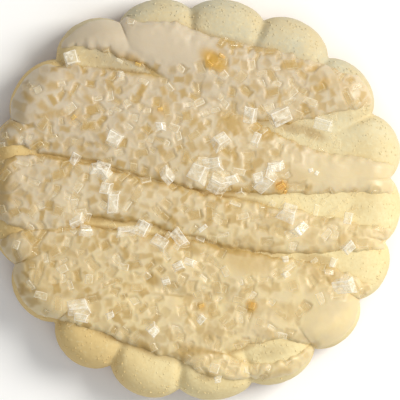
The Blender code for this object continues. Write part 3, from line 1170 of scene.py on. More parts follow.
@dataclass(frozen=True)
class BakedShortbread:
    """Pale baked dough: sandy crumb, fine pores, browner towards the base, and painted shade."""

    pale: Colour = (0.79, 0.68, 0.39)
    cool_tone_and_shade: Colour = (0.53, 0.505, 0.38)
    warm_tone_and_shade: Colour = (0.68, 0.50, 0.22)
    moist_shade_brown: Colour = (0.32, 0.185, 0.05)
    toasted: Colour = (0.44, 0.24, 0.085)
    pore: Colour = (0.36, 0.22, 0.09)
    grain: Colour = (0.86, 0.80, 0.52)
    roughness: float = 0.8
    refraction: float = 1.45
    shine: float = 0.3
    painted_shade_to_top: Drift = Drift((0.0, 1.0, 0.0), -6.0 * MM, 20.0 * MM)
    painted_shade_to_left: Drift = Drift((-0.98, -0.2, 0.0), 5.0 * MM, 17.0 * MM)
    patches: Speckle = Speckle(6.0 * MM, (0.3, 0.7), (0.0, 0.4))
    crumb: Speckle = Speckle(0.35 * MM, (0.35, 0.75), (0.0, 0.35), 3.0, 0.6)
    pale_grains: Speckle = Speckle(0.55 * MM, (0.56, 0.74), (0.0, 0.22))
    toast_heights: tuple[float, float] = (3.6 * MM, 0.2 * MM)
    toast_most: float = 0.85
    pore_spacing: float = 2.3 * MM
    pore_size: float = 0.05
    pore_strength: float = 0.4
    rough_crumb: Grit = Grit(0.4 * MM, 0.07 * MM, 0.5, 3.0, 0.6)
    sand: Grit = Grit(0.5 * MM, 0.04 * MM, 0.3)

    def make(self, name: str) -> bpy.types.Material:
        """Builds the material.

        Args:
            name: its name.

        Returns:
            The material.
        """
        weave = Weave(name)
        weave.set(Roughness=self.roughness, IOR=self.refraction, Specular_IOR_Level=self.shine)
        # Painted shade: greyer towards the top, and darker and warmer towards the left, away from
        # the light
        colour = weave.mix(weave.towards(self.painted_shade_to_top), self.pale, self.cool_tone_and_shade)
        colour = weave.mix(weave.towards(self.painted_shade_to_left), colour, self.warm_tone_and_shade)
        colour = weave.mix(weave.speckle(self.patches), colour, self.warm_tone_and_shade)
        colour = weave.mix(weave.speckle(self.crumb), colour, self.warm_tone_and_shade)
        # Painted shade beside the icing, partly moisture in the crumb
        colour = weave.mix(weave.attribute("beside"), colour, self.moist_shade_brown)
        toast = weave.span(weave.height(), *self.toast_heights, (0.0, self.toast_most))
        colour = weave.mix(toast, colour, self.toasted)
        colour = weave.mix(weave.speckle(self.pale_grains), colour, self.grain)
        pores = weave.grains(self.pore_spacing)
        pores = weave.span(pores, 0.0, self.pore_size, (self.pore_strength, 0.0))
        colour = weave.mix(pores, colour, self.pore)
        sand = weave.grains(self.sand.width)
        bump = weave.bump(sand, self.sand.depth, self.sand.strength, weave.grit(self.rough_crumb))
        return weave.finish(Base_Color=colour, Normal=bump)


@dataclass(frozen=True)
class CreamIcing:
    """Set icing: pale and satin, thinner over the crystals that lie in it, with painted shade over
    them, in its valleys and towards the upper left.
    """

    thick: Colour = (0.74, 0.60, 0.33)
    cool_tone_and_shade: Colour = (0.585, 0.49, 0.35)
    thin: Colour = (0.57, 0.42, 0.19)
    thin_and_shaded_tan: Colour = (0.47, 0.31, 0.10)
    amber: Colour = (0.55, 0.32, 0.05)
    painted_shade_to_top: Drift = Drift((-0.35, 0.94, 0.0), -14.0 * MM, 18.0 * MM)
    cloud: Speckle = Speckle(2.5 * MM, (0.35, 0.7), (0.0, 0.3))
    thin_covers: tuple[float, float] = (0.6, 0.05)
    thin_most: float = 0.9
    gloss: Speckle = Speckle(0.8 * MM, (0.3, 0.7), (0.32, 0.5))
    unevenness: Grit = Grit(0.5 * MM, 0.05 * MM, 0.35, 3.0)
    refraction: float = 1.45
    glow_share: float = 0.25
    glow_depth: float = 0.6 * MM
    glow: Place = (1.0, 0.7, 0.4)

    def make(self, name: str) -> bpy.types.Material:
        """Builds the material.

        Args:
            name: its name.

        Returns:
            The material.
        """
        weave = Weave(name)
        weave.set(IOR=self.refraction, Subsurface_Weight=self.glow_share)
        weave.set(Subsurface_Scale=self.glow_depth, Subsurface_Radius=self.glow)
        # Painted shade: greyer and darker towards the upper left, away from the light
        colour = weave.mix(weave.towards(self.painted_shade_to_top), self.thick, self.cool_tone_and_shade)
        colour = weave.mix(weave.speckle(self.cloud), colour, self.cool_tone_and_shade)
        thin = weave.span(weave.attribute("cover"), *self.thin_covers, (0.0, self.thin_most))
        colour = weave.mix(thin, colour, self.thin)
        # Painted shade: over the sugar's pockets, in the valleys between bands and in the thin and
        # shaded places
        colour = weave.mix(weave.attribute("window_and_shade"), colour, self.thin_and_shaded_tan)
        colour = weave.mix(weave.attribute("amber"), colour, self.amber)
        rough, bump = weave.speckle(self.gloss), weave.grit(self.unevenness)
        return weave.finish(Base_Color=colour, Roughness=rough, Normal=bump)


@dataclass(frozen=True)
class ClearSugar:
    """Coarse sugar: clear, with a little haze, faint growth steps inside its faces, and painted
    highlights on its rims and streaks.
    """

    hazy: Colour = (0.94, 0.91, 0.80)
    deep: Colour = (0.86, 0.80, 0.64)
    painted_highlight: Colour = (1.0, 0.98, 0.90)
    solidity: float = 0.25
    haze: float = 0.5
    rim_solidity: float = 0.65
    streaked: float = 0.55
    clearer_behind: float = 0.65
    lets_light_by: float = 0.8
    refraction: float = 1.54
    milk: Speckle = Speckle(0.7 * MM, (0.35, 0.7), (0.0, 0.6), 3.0)
    deep_most: float = 0.6
    rim_patches: Speckle = Speckle(0.9 * MM, (0.36, 0.56), (0.4, 1.0))
    gloss: Speckle = Speckle(0.6 * MM, (0.4, 0.7), (0.06, 0.22))
    growth: Grit = Grit(0.4 * MM, 0.05 * MM, 0.5)
    cloud: Speckle = Speckle(0.5 * MM, (0.4, 0.75), (0.0, 1.0), 3.0)
    streak_scale: float = 4.0
    streak_detail: float = 1.0
    streak_shift: float = 40.0
    streak_rise: tuple[float, float] = (0.58, 0.66)

    def streaks(self, weave: Weave) -> Socket:
        """A few painted highlights along each crystal, as lines where its faces catch the light.

        Args:
            weave: the material under construction.

        Returns:
            1 on a line and 0 off it.
        """
        node = weave.tree.nodes.new("ShaderNodeTexNoise")
        node.noise_dimensions = "1D"
        node.inputs["Scale"].default_value = self.streak_scale
        node.inputs["Detail"].default_value = self.streak_detail
        tint, across = weave.attribute("tint"), weave.attribute("across")
        place = weave.work(Step.TIMES_PLUS, tint, self.streak_shift, across)
        weave.wire(place, node.inputs["W"])
        return weave.span(node.outputs["Fac"], *self.streak_rise, (0.0, 1.0))

    def make(self, name: str) -> bpy.types.Material:
        """Builds the material: painted highlights on the rims and streaks, and clear to the light's
        own rays.

        Args:
            name: its name.

        Returns:
            The material.
        """
        weave = Weave(name)
        weave.set(IOR=self.refraction)
        colour = weave.mix(weave.speckle(self.milk), self.hazy, self.deep)
        tint = weave.span(weave.attribute("tint"), 0.0, 1.0, (0.0, self.deep_most))
        colour = weave.mix(tint, colour, self.deep)
        rims = weave.work(Step.TIMES, weave.attribute("rim"), weave.speckle(self.rim_patches))
        streaks = weave.work(Step.TIMES, self.streaks(weave), self.streaked)
        front = weave.work(Step.TIMES_PLUS, weave.behind(), -self.clearer_behind, 1.0)
        painted_glints = weave.work(Step.LARGER, rims, weave.work(Step.TIMES, streaks, front))
        # Painted highlights: the bevelled rims and the streaks are mixed towards white
        colour = weave.mix(painted_glints, colour, self.painted_highlight)
        ends = (self.solidity, self.solidity + self.haze)
        cloudy = weave.speckle(replace(self.cloud, ends=ends))
        solid = weave.blend(painted_glints, cloudy, self.rim_solidity)
        passed = weave.work(Step.TIMES_PLUS, weave.shadow_ray(), -self.lets_light_by, 1.0)
        solid = weave.work(Step.TIMES, weave.work(Step.TIMES, solid, passed), front)
        rough, bump = weave.speckle(self.gloss), weave.grit(self.growth)
        return weave.finish(Base_Color=colour, Roughness=rough, Normal=bump, Alpha=solid)


# The sugar in the icing is darker and tanner than the loose sugar: partly the icing seen through
# it, partly painted shade of its pocket
SUGAR_IN_ICING = ClearSugar(
    hazy=(0.84, 0.70, 0.40), deep=(0.60, 0.43, 0.18), painted_highlight=(0.88, 0.78, 0.54),
    solidity=0.08, haze=0.3, rim_solidity=0.35, streaked=0.25,
)
HALF_SUNK_SUGAR = ClearSugar(
    hazy=(0.92, 0.84, 0.62), deep=(0.82, 0.70, 0.45), painted_highlight=(0.98, 0.93, 0.78),
    solidity=0.12, haze=0.4, rim_solidity=0.5, streaked=0.4,
)
AMBER_SUGAR = ClearSugar(
    hazy=(0.72, 0.50, 0.16), deep=(0.60, 0.20, 0.0), painted_highlight=(0.86, 0.58, 0.16),
    solidity=0.55, haze=0.2, rim_solidity=0.7, streaked=0.2,
)


@dataclass(frozen=True)
class Biscuit:
    """The baked biscuit itself: a turned blank pressed to the fluted outline, with its crumb."""

    top: Top
    drizzle: Drizzle
    steps: int = 160
    cuts: int = 3
    inner_step: float = 0.36 * MM
    outer_step: float = 0.21 * MM
    outer_from: float = 0.66
    blank_radius: float = 25.0 * MM
    side: tuple = (
        (1.003, 4.1), (1.004, 3.8), (1.005, 3.5), (1.005, 3.2), (1.005, 2.9), (1.004, 2.6),
        (1.003, 2.3), (1.002, 2.0), (1.0, 1.7), (1.0, 1.4), (0.998, 1.1), (0.995, 0.8),
        (0.991, 0.5), (0.986, 0.3), (0.978, 0.1), (0.966, 0.0), (0.95, 0.0), (0.9, 0.0),
        (0.8, 0.0), (0.6, 0.0), (0.3, 0.0),
    )
    relief: float = 0.17 * MM
    crumb_noises: tuple = (
        Ripple(0.40, 1.9 * MM, 3.1), Ripple(0.35, 0.8 * MM, 7.7), Ripple(0.40, 0.42 * MM, 11.3)
    )
    pit_level: float = 0.55
    pit_depth: float = 1.2
    smooth_to: float = 0.6 * MM
    rim_drop: float = 0.2 * MM
    merge_within: float = 0.002 * MM
    level_within: float = 0.001 * MM
    above_edge: float = 0.01 * MM
    angle_rounds: int = 12

    def profile(self) -> list[tuple[float, float]]:
        """The section's points as (share, height), from the top's middle to the base's.

        Returns:
            The points in order.
        """
        shares = list(np.arange(0.0, self.outer_from, self.inner_step / self.blank_radius))
        step = self.outer_step / self.blank_radius
        inner = 1.0 - self.top.rounding
        shares += list(np.arange(self.outer_from, inner, step))
        turns = int(self.top.rounding * self.blank_radius * math.pi / 2.0 / self.outer_step)
        for turn in range(turns + 1):
            lean = math.pi / 2.0 * turn / turns
            shares.append(inner + self.top.rounding * math.sin(lean))
        heights = self.top.profile(np.array(shares))
        points = [(share, float(height)) for share, height in zip(shares, heights)]
        points += [(share, height * MM) for share, height in self.side]
        return points + [(0.0, 0.0)]

    def blank(self) -> bpy.types.Mesh:
        """Turns the profile into a closed disc.

        Returns:
            The disc as a mesh.
        """
        shape = bmesh.new()
        points = [
            shape.verts.new((share * self.blank_radius, 0.0, height))
            for share, height in self.profile()
        ]
        edges = [shape.edges.new(pair) for pair in zip(points, points[1:])]
        bmesh.ops.spin(
            shape,
            geom=points + edges,
            cent=(0.0, 0.0, 0.0),
            axis=(0.0, 0.0, 1.0),
            angle=math.tau,
            steps=self.steps,
            use_merge=True,
        )
        bmesh.ops.remove_doubles(shape, verts=shape.verts, dist=self.merge_within)
        round_it = [edge for edge in shape.edges if self.goes_round(edge)]
        bmesh.ops.subdivide_edges(shape, edges=round_it, cuts=self.cuts, use_grid_fill=True)
        bmesh.ops.recalc_face_normals(shape, faces=shape.faces)
        return mesh_from(shape, "baked_biscuit")

    def goes_round(self, edge: bmesh.types.BMEdge) -> bool:
        """True for an edge that runs round the disc, and not from its middle outwards.

        Args:
            edge: the edge to judge.

        Returns:
            Whether it does.
        """
        first, second = (vertex.co for vertex in edge.verts)
        level = abs(first.z - second.z) < self.level_within
        return level and abs(first.xy.length - second.xy.length) < self.level_within

    def angle_of_column(self, turned: Array) -> Array:
        """The true angle of an evenly spaced one, as the real flutes aren't all as wide.

        Args:
            turned: the evenly spaced angles, in radians.

        Returns:
            The true angles.
        """
        outline = self.top.outline
        angle = turned + outline.first_notch
        for _ in range(self.angle_rounds):
            angle = turned + outline.first_notch - outline.waves(angle, outline.turn_waves, 1)
        return angle

    def press(self, mesh: bpy.types.Mesh) -> None:
        """Moves the blank's points to the fluted outline and lays the top's relief.

        Args:
            mesh: the blank.
        """
        points = points_of(mesh)
        share = np.hypot(points[:, 0], points[:, 1]) / self.blank_radius
        angle = self.angle_of_column(np.arctan2(points[:, 1], points[:, 0]))
        x, y = self.top.outline.spot(share, angle)
        upper = points[:, 2] > self.top.edge_height + self.above_edge
        lowest = self.top.edge_height - self.rim_drop
        height = np.maximum(self.top.height(share, angle), lowest)
        height = np.where(upper, height, points[:, 2])
        move_points(mesh, rows(x, y, height))

    def crumble(self, mesh: bpy.types.Mesh) -> None:
        """Gives the surface its crumb, always inwards, and leaves the base flat.

        Args:
            mesh: the pressed biscuit.
        """
        points, normals = points_of(mesh), normals_of(mesh)
        coarse, middle, fine = (ripple.at(points) for ripple in self.crumb_noises)
        crumb = np.clip(coarse + middle + fine, -1.0, 1.0)
        small = middle / self.crumb_noises[1].height + fine / self.crumb_noises[2].height
        pits = np.clip(small - self.pit_level, 0.0, None)
        depth = self.relief * (0.5 - 0.5 * crumb + self.pit_depth * pits)
        depth *= smooth_step(0.0, self.smooth_to, points[:, 2])
        move_points(mesh, points - normals * depth[:, None])

    def build(self) -> bpy.types.Object:
        """Makes the piece.

        Returns:
            The piece.
        """
        mesh = self.blank()
        self.press(mesh)
        self.crumble(mesh)
        MoistShade(self.drizzle).paint_on(mesh)
        mesh.shade_smooth()
        return add_piece(mesh, BakedShortbread().make("baked_shortbread"))


@dataclass(frozen=True)
class IcingSheet:
    """One run of set icing: a fine sheet laid over the biscuit, with a soft edge and pockets."""

    name: str
    bands: tuple[int, ...]
    top: Top
    drizzle: Drizzle
    crystals: list[Crystal]
    cell: float = 0.155 * MM
    half_extent: float = 28.2 * MM
    root: float = 0.35 * MM
    keep_above: float = -0.28 * MM
    wobbles: tuple = (Ripple(0.36 * MM, 2.6 * MM, 1.7), Ripple(0.28 * MM, 0.9 * MM))
    swells: tuple = (Ripple(0.07 * MM, 3.1 * MM, 5.0), Ripple(0.025 * MM, 1.1 * MM))
    swell_from: float = 0.4 * MM
    rim_thinning: float = 0.6
    rim_span: tuple[float, float] = (0.9, 0.988)
    end_span: tuple[float, float] = (0.985, 0.995)
    ragged: Ripple = Ripple(0.0055, 1.4 * MM, 13.0)
    widest: float = 0.997
    probe: float = 0.6 * MM
    bridged: float = 0.85
    bridged_span: tuple[float, float] = (0.1 * MM, 0.6 * MM)
    deepest_share: float = 0.9
    pocket_depth: float = 0.12 * MM
    pocket_floor: float = 0.14 * MM
    film_swell: float = 0.045 * MM
    wall: float = 0.2 * MM
    wall_outside: float = 0.6
    warps: tuple = (Ripple(0.26 * MM, 0.7 * MM, 21.0), Ripple(0.26 * MM, 0.7 * MM, 33.0))
    lip: float = 0.05 * MM
    lip_width: float = 0.2 * MM
    lip_reach: float = 3.0
    lip_from: float = 0.3 * MM
    blur: float = 0.24 * MM
    blur_least: float = 0.5
    blur_more: float = 1.6
    blur_outside: float = 0.8
    blur_shuffle: float = 7.0
    clear_least: float = 0.2
    valley_width: float = 0.55 * MM
    valley_strength: float = 0.9
    valley_ends: tuple[float, float] = (17.0 * MM, 7.0 * MM)
    lower_right: Place = (0.7, -0.7, 20.0 * MM)
    lower_right_fade: float = 0.5
    rim_cover: tuple[float, float] = (17.0 * MM, 21.0 * MM)
    right_cover: tuple[float, float] = (9.0 * MM, 15.0 * MM)
    more_cover: float = 0.45

    def flat_grid(self) -> tuple[bmesh.types.BMesh, Array]:
        """A flat grid over the whole biscuit, and its points.

        Returns:
            Both, the points as rows.
        """
        segments = int(2.0 * self.half_extent / self.cell)
        shape = bmesh.new()
        bmesh.ops.create_grid(
            shape, x_segments=segments, y_segments=segments, size=self.half_extent
        )
        return shape, np.array([vertex.co for vertex in shape.verts])

    def lay(self, flat: Array) -> tuple[Array, Array]:
        """Lays flat points on the biscuit's top and down over its rim.

        Args:
            flat: rows of x and y and nothing.

        Returns:
            The points on the surface, and the share of the way out.
        """
        share, angle = self.top.outline.polar(flat[:, 0], flat[:, 1])
        share = self.top.round_the_rim(share)
        x, y = self.top.outline.spot(share, angle)
        return rows(x, y, self.top.height(share, angle)), share

    def depth(self, points: Array, share: Array) -> Array:
        """How thick the icing lies at each point, before the sugar sank into it.

        Args:
            points: the points on the biscuit.
            share: their share of the way out.

        Returns:
            The thickness, less than nothing outside the icing.
        """
        plan = points * (1.0, 1.0, 0.0)
        wobble = sum(ripple.at(plan) for ripple in self.wobbles)
        x, y = points[:, 0], points[:, 1]
        depth = self.drizzle.depth(x, y, wobble, self.bands, merged=strongest(MERGED, x, y))
        swell = sum(ripple.at(plan) for ripple in self.swells)
        depth += swell * smooth_step(0.0, self.swell_from, depth)
        thinning = 1.0 - self.rim_thinning * smooth_step(*self.rim_span, share)
        depth = np.where(depth > 0.0, depth * thinning, depth)
        ragged = share + self.ragged.height + self.ragged.at(plan)
        return depth + self.drizzle.outside * smooth_step(*self.end_span, ragged)

    def floor_at(self, crystal: Crystal, deep: Array) -> Array:
        """How thick the icing is left at a crystal.

        Args:
            crystal: which one.
            deep: how thick the icing was.

        Returns:
            The thickness of the film over it, or of the icing under its pocket.
        """
        if crystal.settling is Settling.BURIED:
            return deep + self.film_swell * (2.0 * crystal.tint - 1.0)
        if crystal.settling is Settling.PROUD:
            return deep
        return np.maximum(deep - self.pocket_depth, np.minimum(deep, self.pocket_floor))

    def clear_at(self, crystal: Crystal, off: Array) -> Array:
        """How clear the icing is over a crystal, where the finish paints shade: each has its own
        strength and soft edge.

        Args:
            crystal: which one.
            off: how far each spot is outside it.

        Returns:
            From 0 to 1 at each spot.
        """
        shuffled = crystal.tint * self.blur_shuffle % 1.0
        blur = self.blur * (self.blur_least + self.blur_more * shuffled)
        clear = self.clear_least + (1.0 - self.clear_least) * crystal.tint
        return clear * (1.0 - smooth_step(-blur, self.blur_outside * blur, off))

    def sink_sugar(self, points: Array, depth: Array) -> tuple[Array, Array]:
        """Presses a pocket into the icing for each crystal.

        Args:
            points: the points on the biscuit.
            depth: how thick the icing lies there.

        Returns:
            The new depth, and how clear the icing over the sugar is, from 0 to 1, where the finish
            paints shade.
        """
        plan = points * (1.0, 1.0, 0.0)
        warp = np.column_stack([ripple.at(plan) for ripple in self.warps])
        pressed = depth.copy()
        lips = np.zeros_like(depth)
        window_and_shade = np.zeros_like(depth)
        for crystal in self.crystals:
            reach = max(crystal.size[:2]) / math.sqrt(2.0) + self.lip_reach * self.lip_width
            near = np.nonzero(
                (np.abs(points[:, 0] - crystal.x) < reach)
                & (np.abs(points[:, 1] - crystal.y) < reach)
            )[0]
            if not len(near):
                continue
            off = crystal.outside(points[near, 0] + warp[near, 0], points[near, 1] + warp[near, 1])
            inside = 1.0 - smooth_step(-self.wall, self.wall * self.wall_outside, off)
            deep = depth[near]
            swell = (self.floor_at(crystal, deep) - deep) * inside
            pressed[near] = np.where(
                np.abs(swell) > np.abs(pressed[near] - deep), deep + swell, pressed[near]
            )
            lip = self.lip * np.exp(-((np.maximum(off, 0.0) / self.lip_width) ** 2))
            lips[near] = np.maximum(lips[near], lip * (1.0 - inside))
            window_and_shade[near] = np.maximum(window_and_shade[near], self.clear_at(crystal, off))
        return pressed + lips * smooth_step(0.0, self.lip_from, depth), window_and_shade

    def build(self, material: bpy.types.Material) -> bpy.types.Object:
        """Makes the piece: the kept faces, closed below, with the icing's depth on them.

        Args:
            material: the icing's finish.

        Returns:
            The piece.
        """
        shape, flat = self.flat_grid()
        points, share = self.lay(flat)
        depth = self.depth(points, share)
        spare = [
            face
            for face in shape.faces
            if max(depth[vertex.index] for vertex in face.verts) < self.keep_above
        ]
        shape.verts.layers.int.new("upper")
        source = shape.verts.layers.int.new("source")
        for vertex in shape.verts:
            vertex[source] = vertex.index
        bmesh.ops.delete(shape, geom=spare, context="FACES")
        raised = bmesh.ops.extrude_face_region(
            shape, geom=list(shape.faces), use_keep_orig=True
        )
        upper = shape.verts.layers.int["upper"]
        for part in raised["geom"]:
            if isinstance(part, bmesh.types.BMVert):
                part[upper] = 1
        mesh = mesh_from(shape, self.name)
        source_of, is_upper = take_layer(mesh, "source"), take_layer(mesh, "upper") == 1
        return self.raise_top(mesh, points[source_of], depth[source_of], is_upper, material)

    def raise_top(
        self,
        mesh: bpy.types.Mesh,
        points: Array,
        depth: Array,
        upper: Array,
        material: bpy.types.Material,
    ) -> bpy.types.Object:
        """Lifts the upper layer to the icing's surface and sets the lower one in the biscuit.

        Args:
            mesh: the two layers, still flat.
            points: where the layers' points lie on the biscuit.
            depth: how thick the icing is there.
            upper: which points are the upper layer's.
            material: the icing's finish.

        Returns:
            The piece.
        """
        up = self.facing(points)
        pressed, window_and_shade = self.sink_sugar(points, depth)
        crease = self.top.crease(*self.top.outline.polar(points[:, 0], points[:, 1]))
        pressed += self.bridged * crease * smooth_step(*self.bridged_span, depth)
        rise = np.where(
            upper, np.maximum(pressed, -self.deepest_share * self.root), -self.root
        )
        move_points(mesh, self.hold_in(points + up * rise[:, None]))
        self.paint_icing(mesh, points, depth, window_and_shade)
        shape = bmesh.new()
        shape.from_mesh(mesh)
        bmesh.ops.recalc_face_normals(shape, faces=shape.faces)
        shape.to_mesh(mesh)
        shape.free()
        mesh.shade_smooth()
        return add_piece(mesh, material)

    def paint_icing(
        self, mesh: bpy.types.Mesh, points: Array, depth: Array, window_and_shade: Array
    ) -> None:
        """Stores what the icing's finish reads: how clear and how shaded, how thick and how amber
        it is.

        Args:
            mesh: the sheet.
            points: where its points lie on the biscuit.
            depth: how thick the icing is there.
            window_and_shade: how clear it is over the sugar.
        """
        x, y = points[:, 0], points[:, 1]
        across, up, span = self.lower_right
        # Painted shade over the sugar, less of it towards the lower right, where the light falls
        paler = self.lower_right_fade * smooth_step(0.0, span, across * x + up * y)
        clear = np.maximum(window_and_shade * (1.0 - paler), strongest(THIN_AND_SHADED_PLACES, x, y))
        outer = smooth_step(*self.rim_cover, np.hypot(x, y)) + smooth_step(*self.right_cover, x)
        paint(mesh, "window_and_shade", np.maximum(clear, self.valley(x, y)))
        paint(mesh, "cover", depth / MM + self.more_cover * np.minimum(outer, 1.0))
        paint(mesh, "amber", strongest(AMBER_STAINS, x, y))

    def valley(self, x: Array, y: Array) -> Array:
        """How near each spot is to the valley between two bands, where the icing is thin and shade
        is painted.

        Args:
            x: the spots' x.
            y: their y.

        Returns:
            From 0 to the valley's strength.
        """
        depths = np.sort([self.drizzle.depth(x, y, 0.0, (band,)) for band in self.bands], axis=0)
        near = 1.0 - smooth_step(0.0, self.valley_width, depths[-1] - depths[-2])
        apart = 1.0 - strongest(MERGED, x, y)
        return self.valley_strength * near * apart * smooth_step(*self.valley_ends, x)

    def facing(self, points: Array) -> Array:
        """Which way the biscuit's smooth top faces at each point, with its creases filled.

        Args:
            points: the points on the biscuit.

        Returns:
            One row a point, each of length 1.
        """
        heights = []
        for x, y in ((1.0, 0.0), (-1.0, 0.0), (0.0, 1.0), (0.0, -1.0)):
            share, angle = self.top.outline.polar(
                points[:, 0] + x * self.probe, points[:, 1] + y * self.probe
            )
            heights.append(self.top.height(share, angle) + self.top.crease(share, angle))
        left, right, front, back = heights
        slope = rows(right - left, back - front, 2.0 * self.probe)
        return slope / np.linalg.norm(slope, axis=1)[:, None]

    def hold_in(self, points: Array) -> Array:
        """Keeps the icing from standing out past the widest line of the biscuit.

        Args:
            points: the icing's points.

        Returns:
            The points, moved in where they stood out.
        """
        share, angle = self.top.outline.polar(points[:, 0], points[:, 1])
        x, y = self.top.outline.spot(np.minimum(share, self.widest), angle)
        return rows(x, y, points[:, 2])


@dataclass(frozen=True)
class SugarPiece:
    """All the crystals of one kind, as real blocks joined in one mesh."""

    top: Top
    drizzle: Drizzle
    edge: float = 0.085 * MM
    jitter: float = 0.08
    probe: float = 0.3 * MM
    ceiling: float = 10.5 * MM
    rim: float = 0.985
    tapers: tuple = ((0.62, 1.0), (0.68, 1.0))
    skew: float = 0.16

    def surface(self, x: float, y: float) -> tuple[float, Vector]:
        """The height of the iced top at a spot, and which way it faces.

        Args:
            x: the spot's x.
            y: its y.

        Returns:
            Both.
        """
        around = np.array([(0.0, 0.0), (self.probe, 0.0), (0.0, self.probe)]) + (x, y)
        share, angle = self.top.outline.polar(around[:, 0], around[:, 1])
        share = np.minimum(share, self.rim)
        x, y = around.T
        depth = self.drizzle.depth(x, y, merged=strongest(MERGED, x, y))
        heights = self.top.height(share, angle) + np.maximum(depth, 0.0)
        slope = (heights[1:] - heights[0]) / self.probe
        return float(heights[0]), Vector((-slope[0], -slope[1], 1.0)).normalized()

    def add(
        self,
        shape: bmesh.types.BMesh,
        crystal: Crystal,
        draw: random.Random,
        layers: tuple[bmesh.types.BMLayerItem, bmesh.types.BMLayerItem],
    ) -> None:
        """Adds one crystal: a block, a little out of square, leaning as it lies.

        Args:
            shape: the mesh of all the crystals.
            crystal: which one.
            draw: the draws for its odd shape.
            layers: the layers for its tint and for the place across it.
        """
        tint, across = layers
        height, facing = self.surface(crystal.x, crystal.y)
        block = bmesh.ops.create_cube(shape, size=1.0)["verts"]
        taper = [draw.uniform(*span) for span in self.tapers]
        lean = drawn_lean(draw, self.skew)
        for vertex in block:
            vertex[tint], vertex[across] = crystal.tint, vertex.co.y
            if vertex.co.z > 0.0:
                vertex.co.x = vertex.co.x * taper[0] + lean[0]
                vertex.co.y = vertex.co.y * taper[1] + lean[1]
            for axis in range(3):
                vertex.co[axis] += draw.uniform(-self.jitter, self.jitter)
        pose = Euler((*crystal.tilt, crystal.turn)).to_matrix().to_4x4()
        faces_up = Vector((0.0, 0.0, 1.0)).rotation_difference(facing).to_matrix().to_4x4()
        rise = height + crystal.shows - crystal.size[2] / 2.0
        matrix = (
            Matrix.Translation((crystal.x, crystal.y, rise))
            @ faces_up
            @ pose
            @ Matrix.Diagonal((*crystal.size, 1.0))
        )
        bmesh.ops.transform(shape, matrix=matrix, verts=block)
        over = max(vertex.co.z for vertex in block) - self.ceiling
        if over > 0.0:
            bmesh.ops.translate(shape, vec=(0.0, 0.0, -over), verts=block)

    def build(
        self, name: str, crystals: list[Crystal], material: bpy.types.Material, slot: str
    ) -> bpy.types.Object:
        """Makes the piece.

        Args:
            name: the piece's name.
            crystals: the crystals in it.
            material: their finish.
            slot: not used.

        Returns:
            The piece.
        """
        draw = random.Random(len(crystals))
        shape = bmesh.new()
        for name_of_layer in ("tint", "across"):
            shape.verts.layers.float.new(name_of_layer)
        layers = shape.verts.layers.float["tint"], shape.verts.layers.float["across"]
        for crystal in crystals:
            self.add(shape, crystal, draw, layers)
        rim = shape.faces.layers.float.new("rim")
        bevelled = bmesh.ops.bevel(
            shape,
            geom=list(shape.edges),
            offset=self.edge,
            offset_type="OFFSET",
            segments=1,
            profile=0.5,
            affect="EDGES",
            material=-1,
            clamp_overlap=True,
        )
        for face in bevelled["faces"]:
            face[rim] = 1.0
        bmesh.ops.recalc_face_normals(shape, faces=shape.faces)
        return add_piece(mesh_from(shape, name), material)


@dataclass(frozen=True)
class Crumbs:
    """The sandy grains that stand out of the bare biscuit."""

    top: Top
    drizzle: Drizzle
    tries: int = 7000
    batch: int = 120
    radii: tuple[float, float] = (0.08 * MM, 0.2 * MM)
    rim: float = 0.985
    bare_below: float = 0.05 * MM
    sink: float = 0.185 * MM
    seed: int = 23

    def spots(self) -> Array:
        """Where the grains lie, as rows of x, y and z.

        Returns:
            One row a grain.
        """
        draw = np.random.default_rng(self.seed)
        share = np.sqrt(draw.random(self.tries)) * self.rim
        angle = draw.random(self.tries) * math.tau
        x, y = self.top.outline.spot(share, angle)
        bare = self.drizzle.depth(x, y) < self.bare_below
        spots = rows(x, y, self.top.height(share, angle) - self.sink)
        return spots[bare]

    def build(self) -> bpy.types.Object:
        """Makes the piece, some grains at a time, as one bmesh call slows in a large mesh.

        Returns:
            The piece.
        """
        draw = random.Random(self.seed)
        spots = self.spots()
        whole = bmesh.new()
        for first in range(0, len(spots), self.batch):
            shape = bmesh.new()
            for spot in spots[first : first + self.batch]:
                sides = [draw.uniform(*self.radii) for _ in range(3)]
                turn = Euler([draw.uniform(0.0, math.tau) for _ in range(3)]).to_matrix().to_4x4()
                matrix = Matrix.Translation(spot) @ turn @ Matrix.Diagonal((*sides, 1.0))
                bmesh.ops.create_icosphere(shape, subdivisions=1, radius=1.0, matrix=matrix)
            part = mesh_from(shape, "grains")
            whole.from_mesh(part)
            bpy.data.meshes.remove(part)
        mesh = mesh_from(whole, "sandy_crumb")
        MoistShade(self.drizzle).paint_on(mesh)
        mesh.shade_smooth()
        return add_piece(mesh, BakedShortbread().make("loose_crumb"))


@dataclass(frozen=True)
class Lamp:
    """A soft square light that faces the biscuit."""

    name: str
    place: Place
    size: float
    power: float
    colour: Colour

    def add(self) -> None:
        """Hangs the light in the scene."""
        light = bpy.data.lights.new(self.name, "AREA")
        light.size = self.size
        light.energy = self.power
        light.color = self.colour
        holder = bpy.data.objects.new(self.name, light)
        holder.location = self.place
        holder.rotation_euler = (-Vector(self.place)).to_track_quat("-Z", "Y").to_euler()
        bpy.context.scene.collection.objects.link(holder)


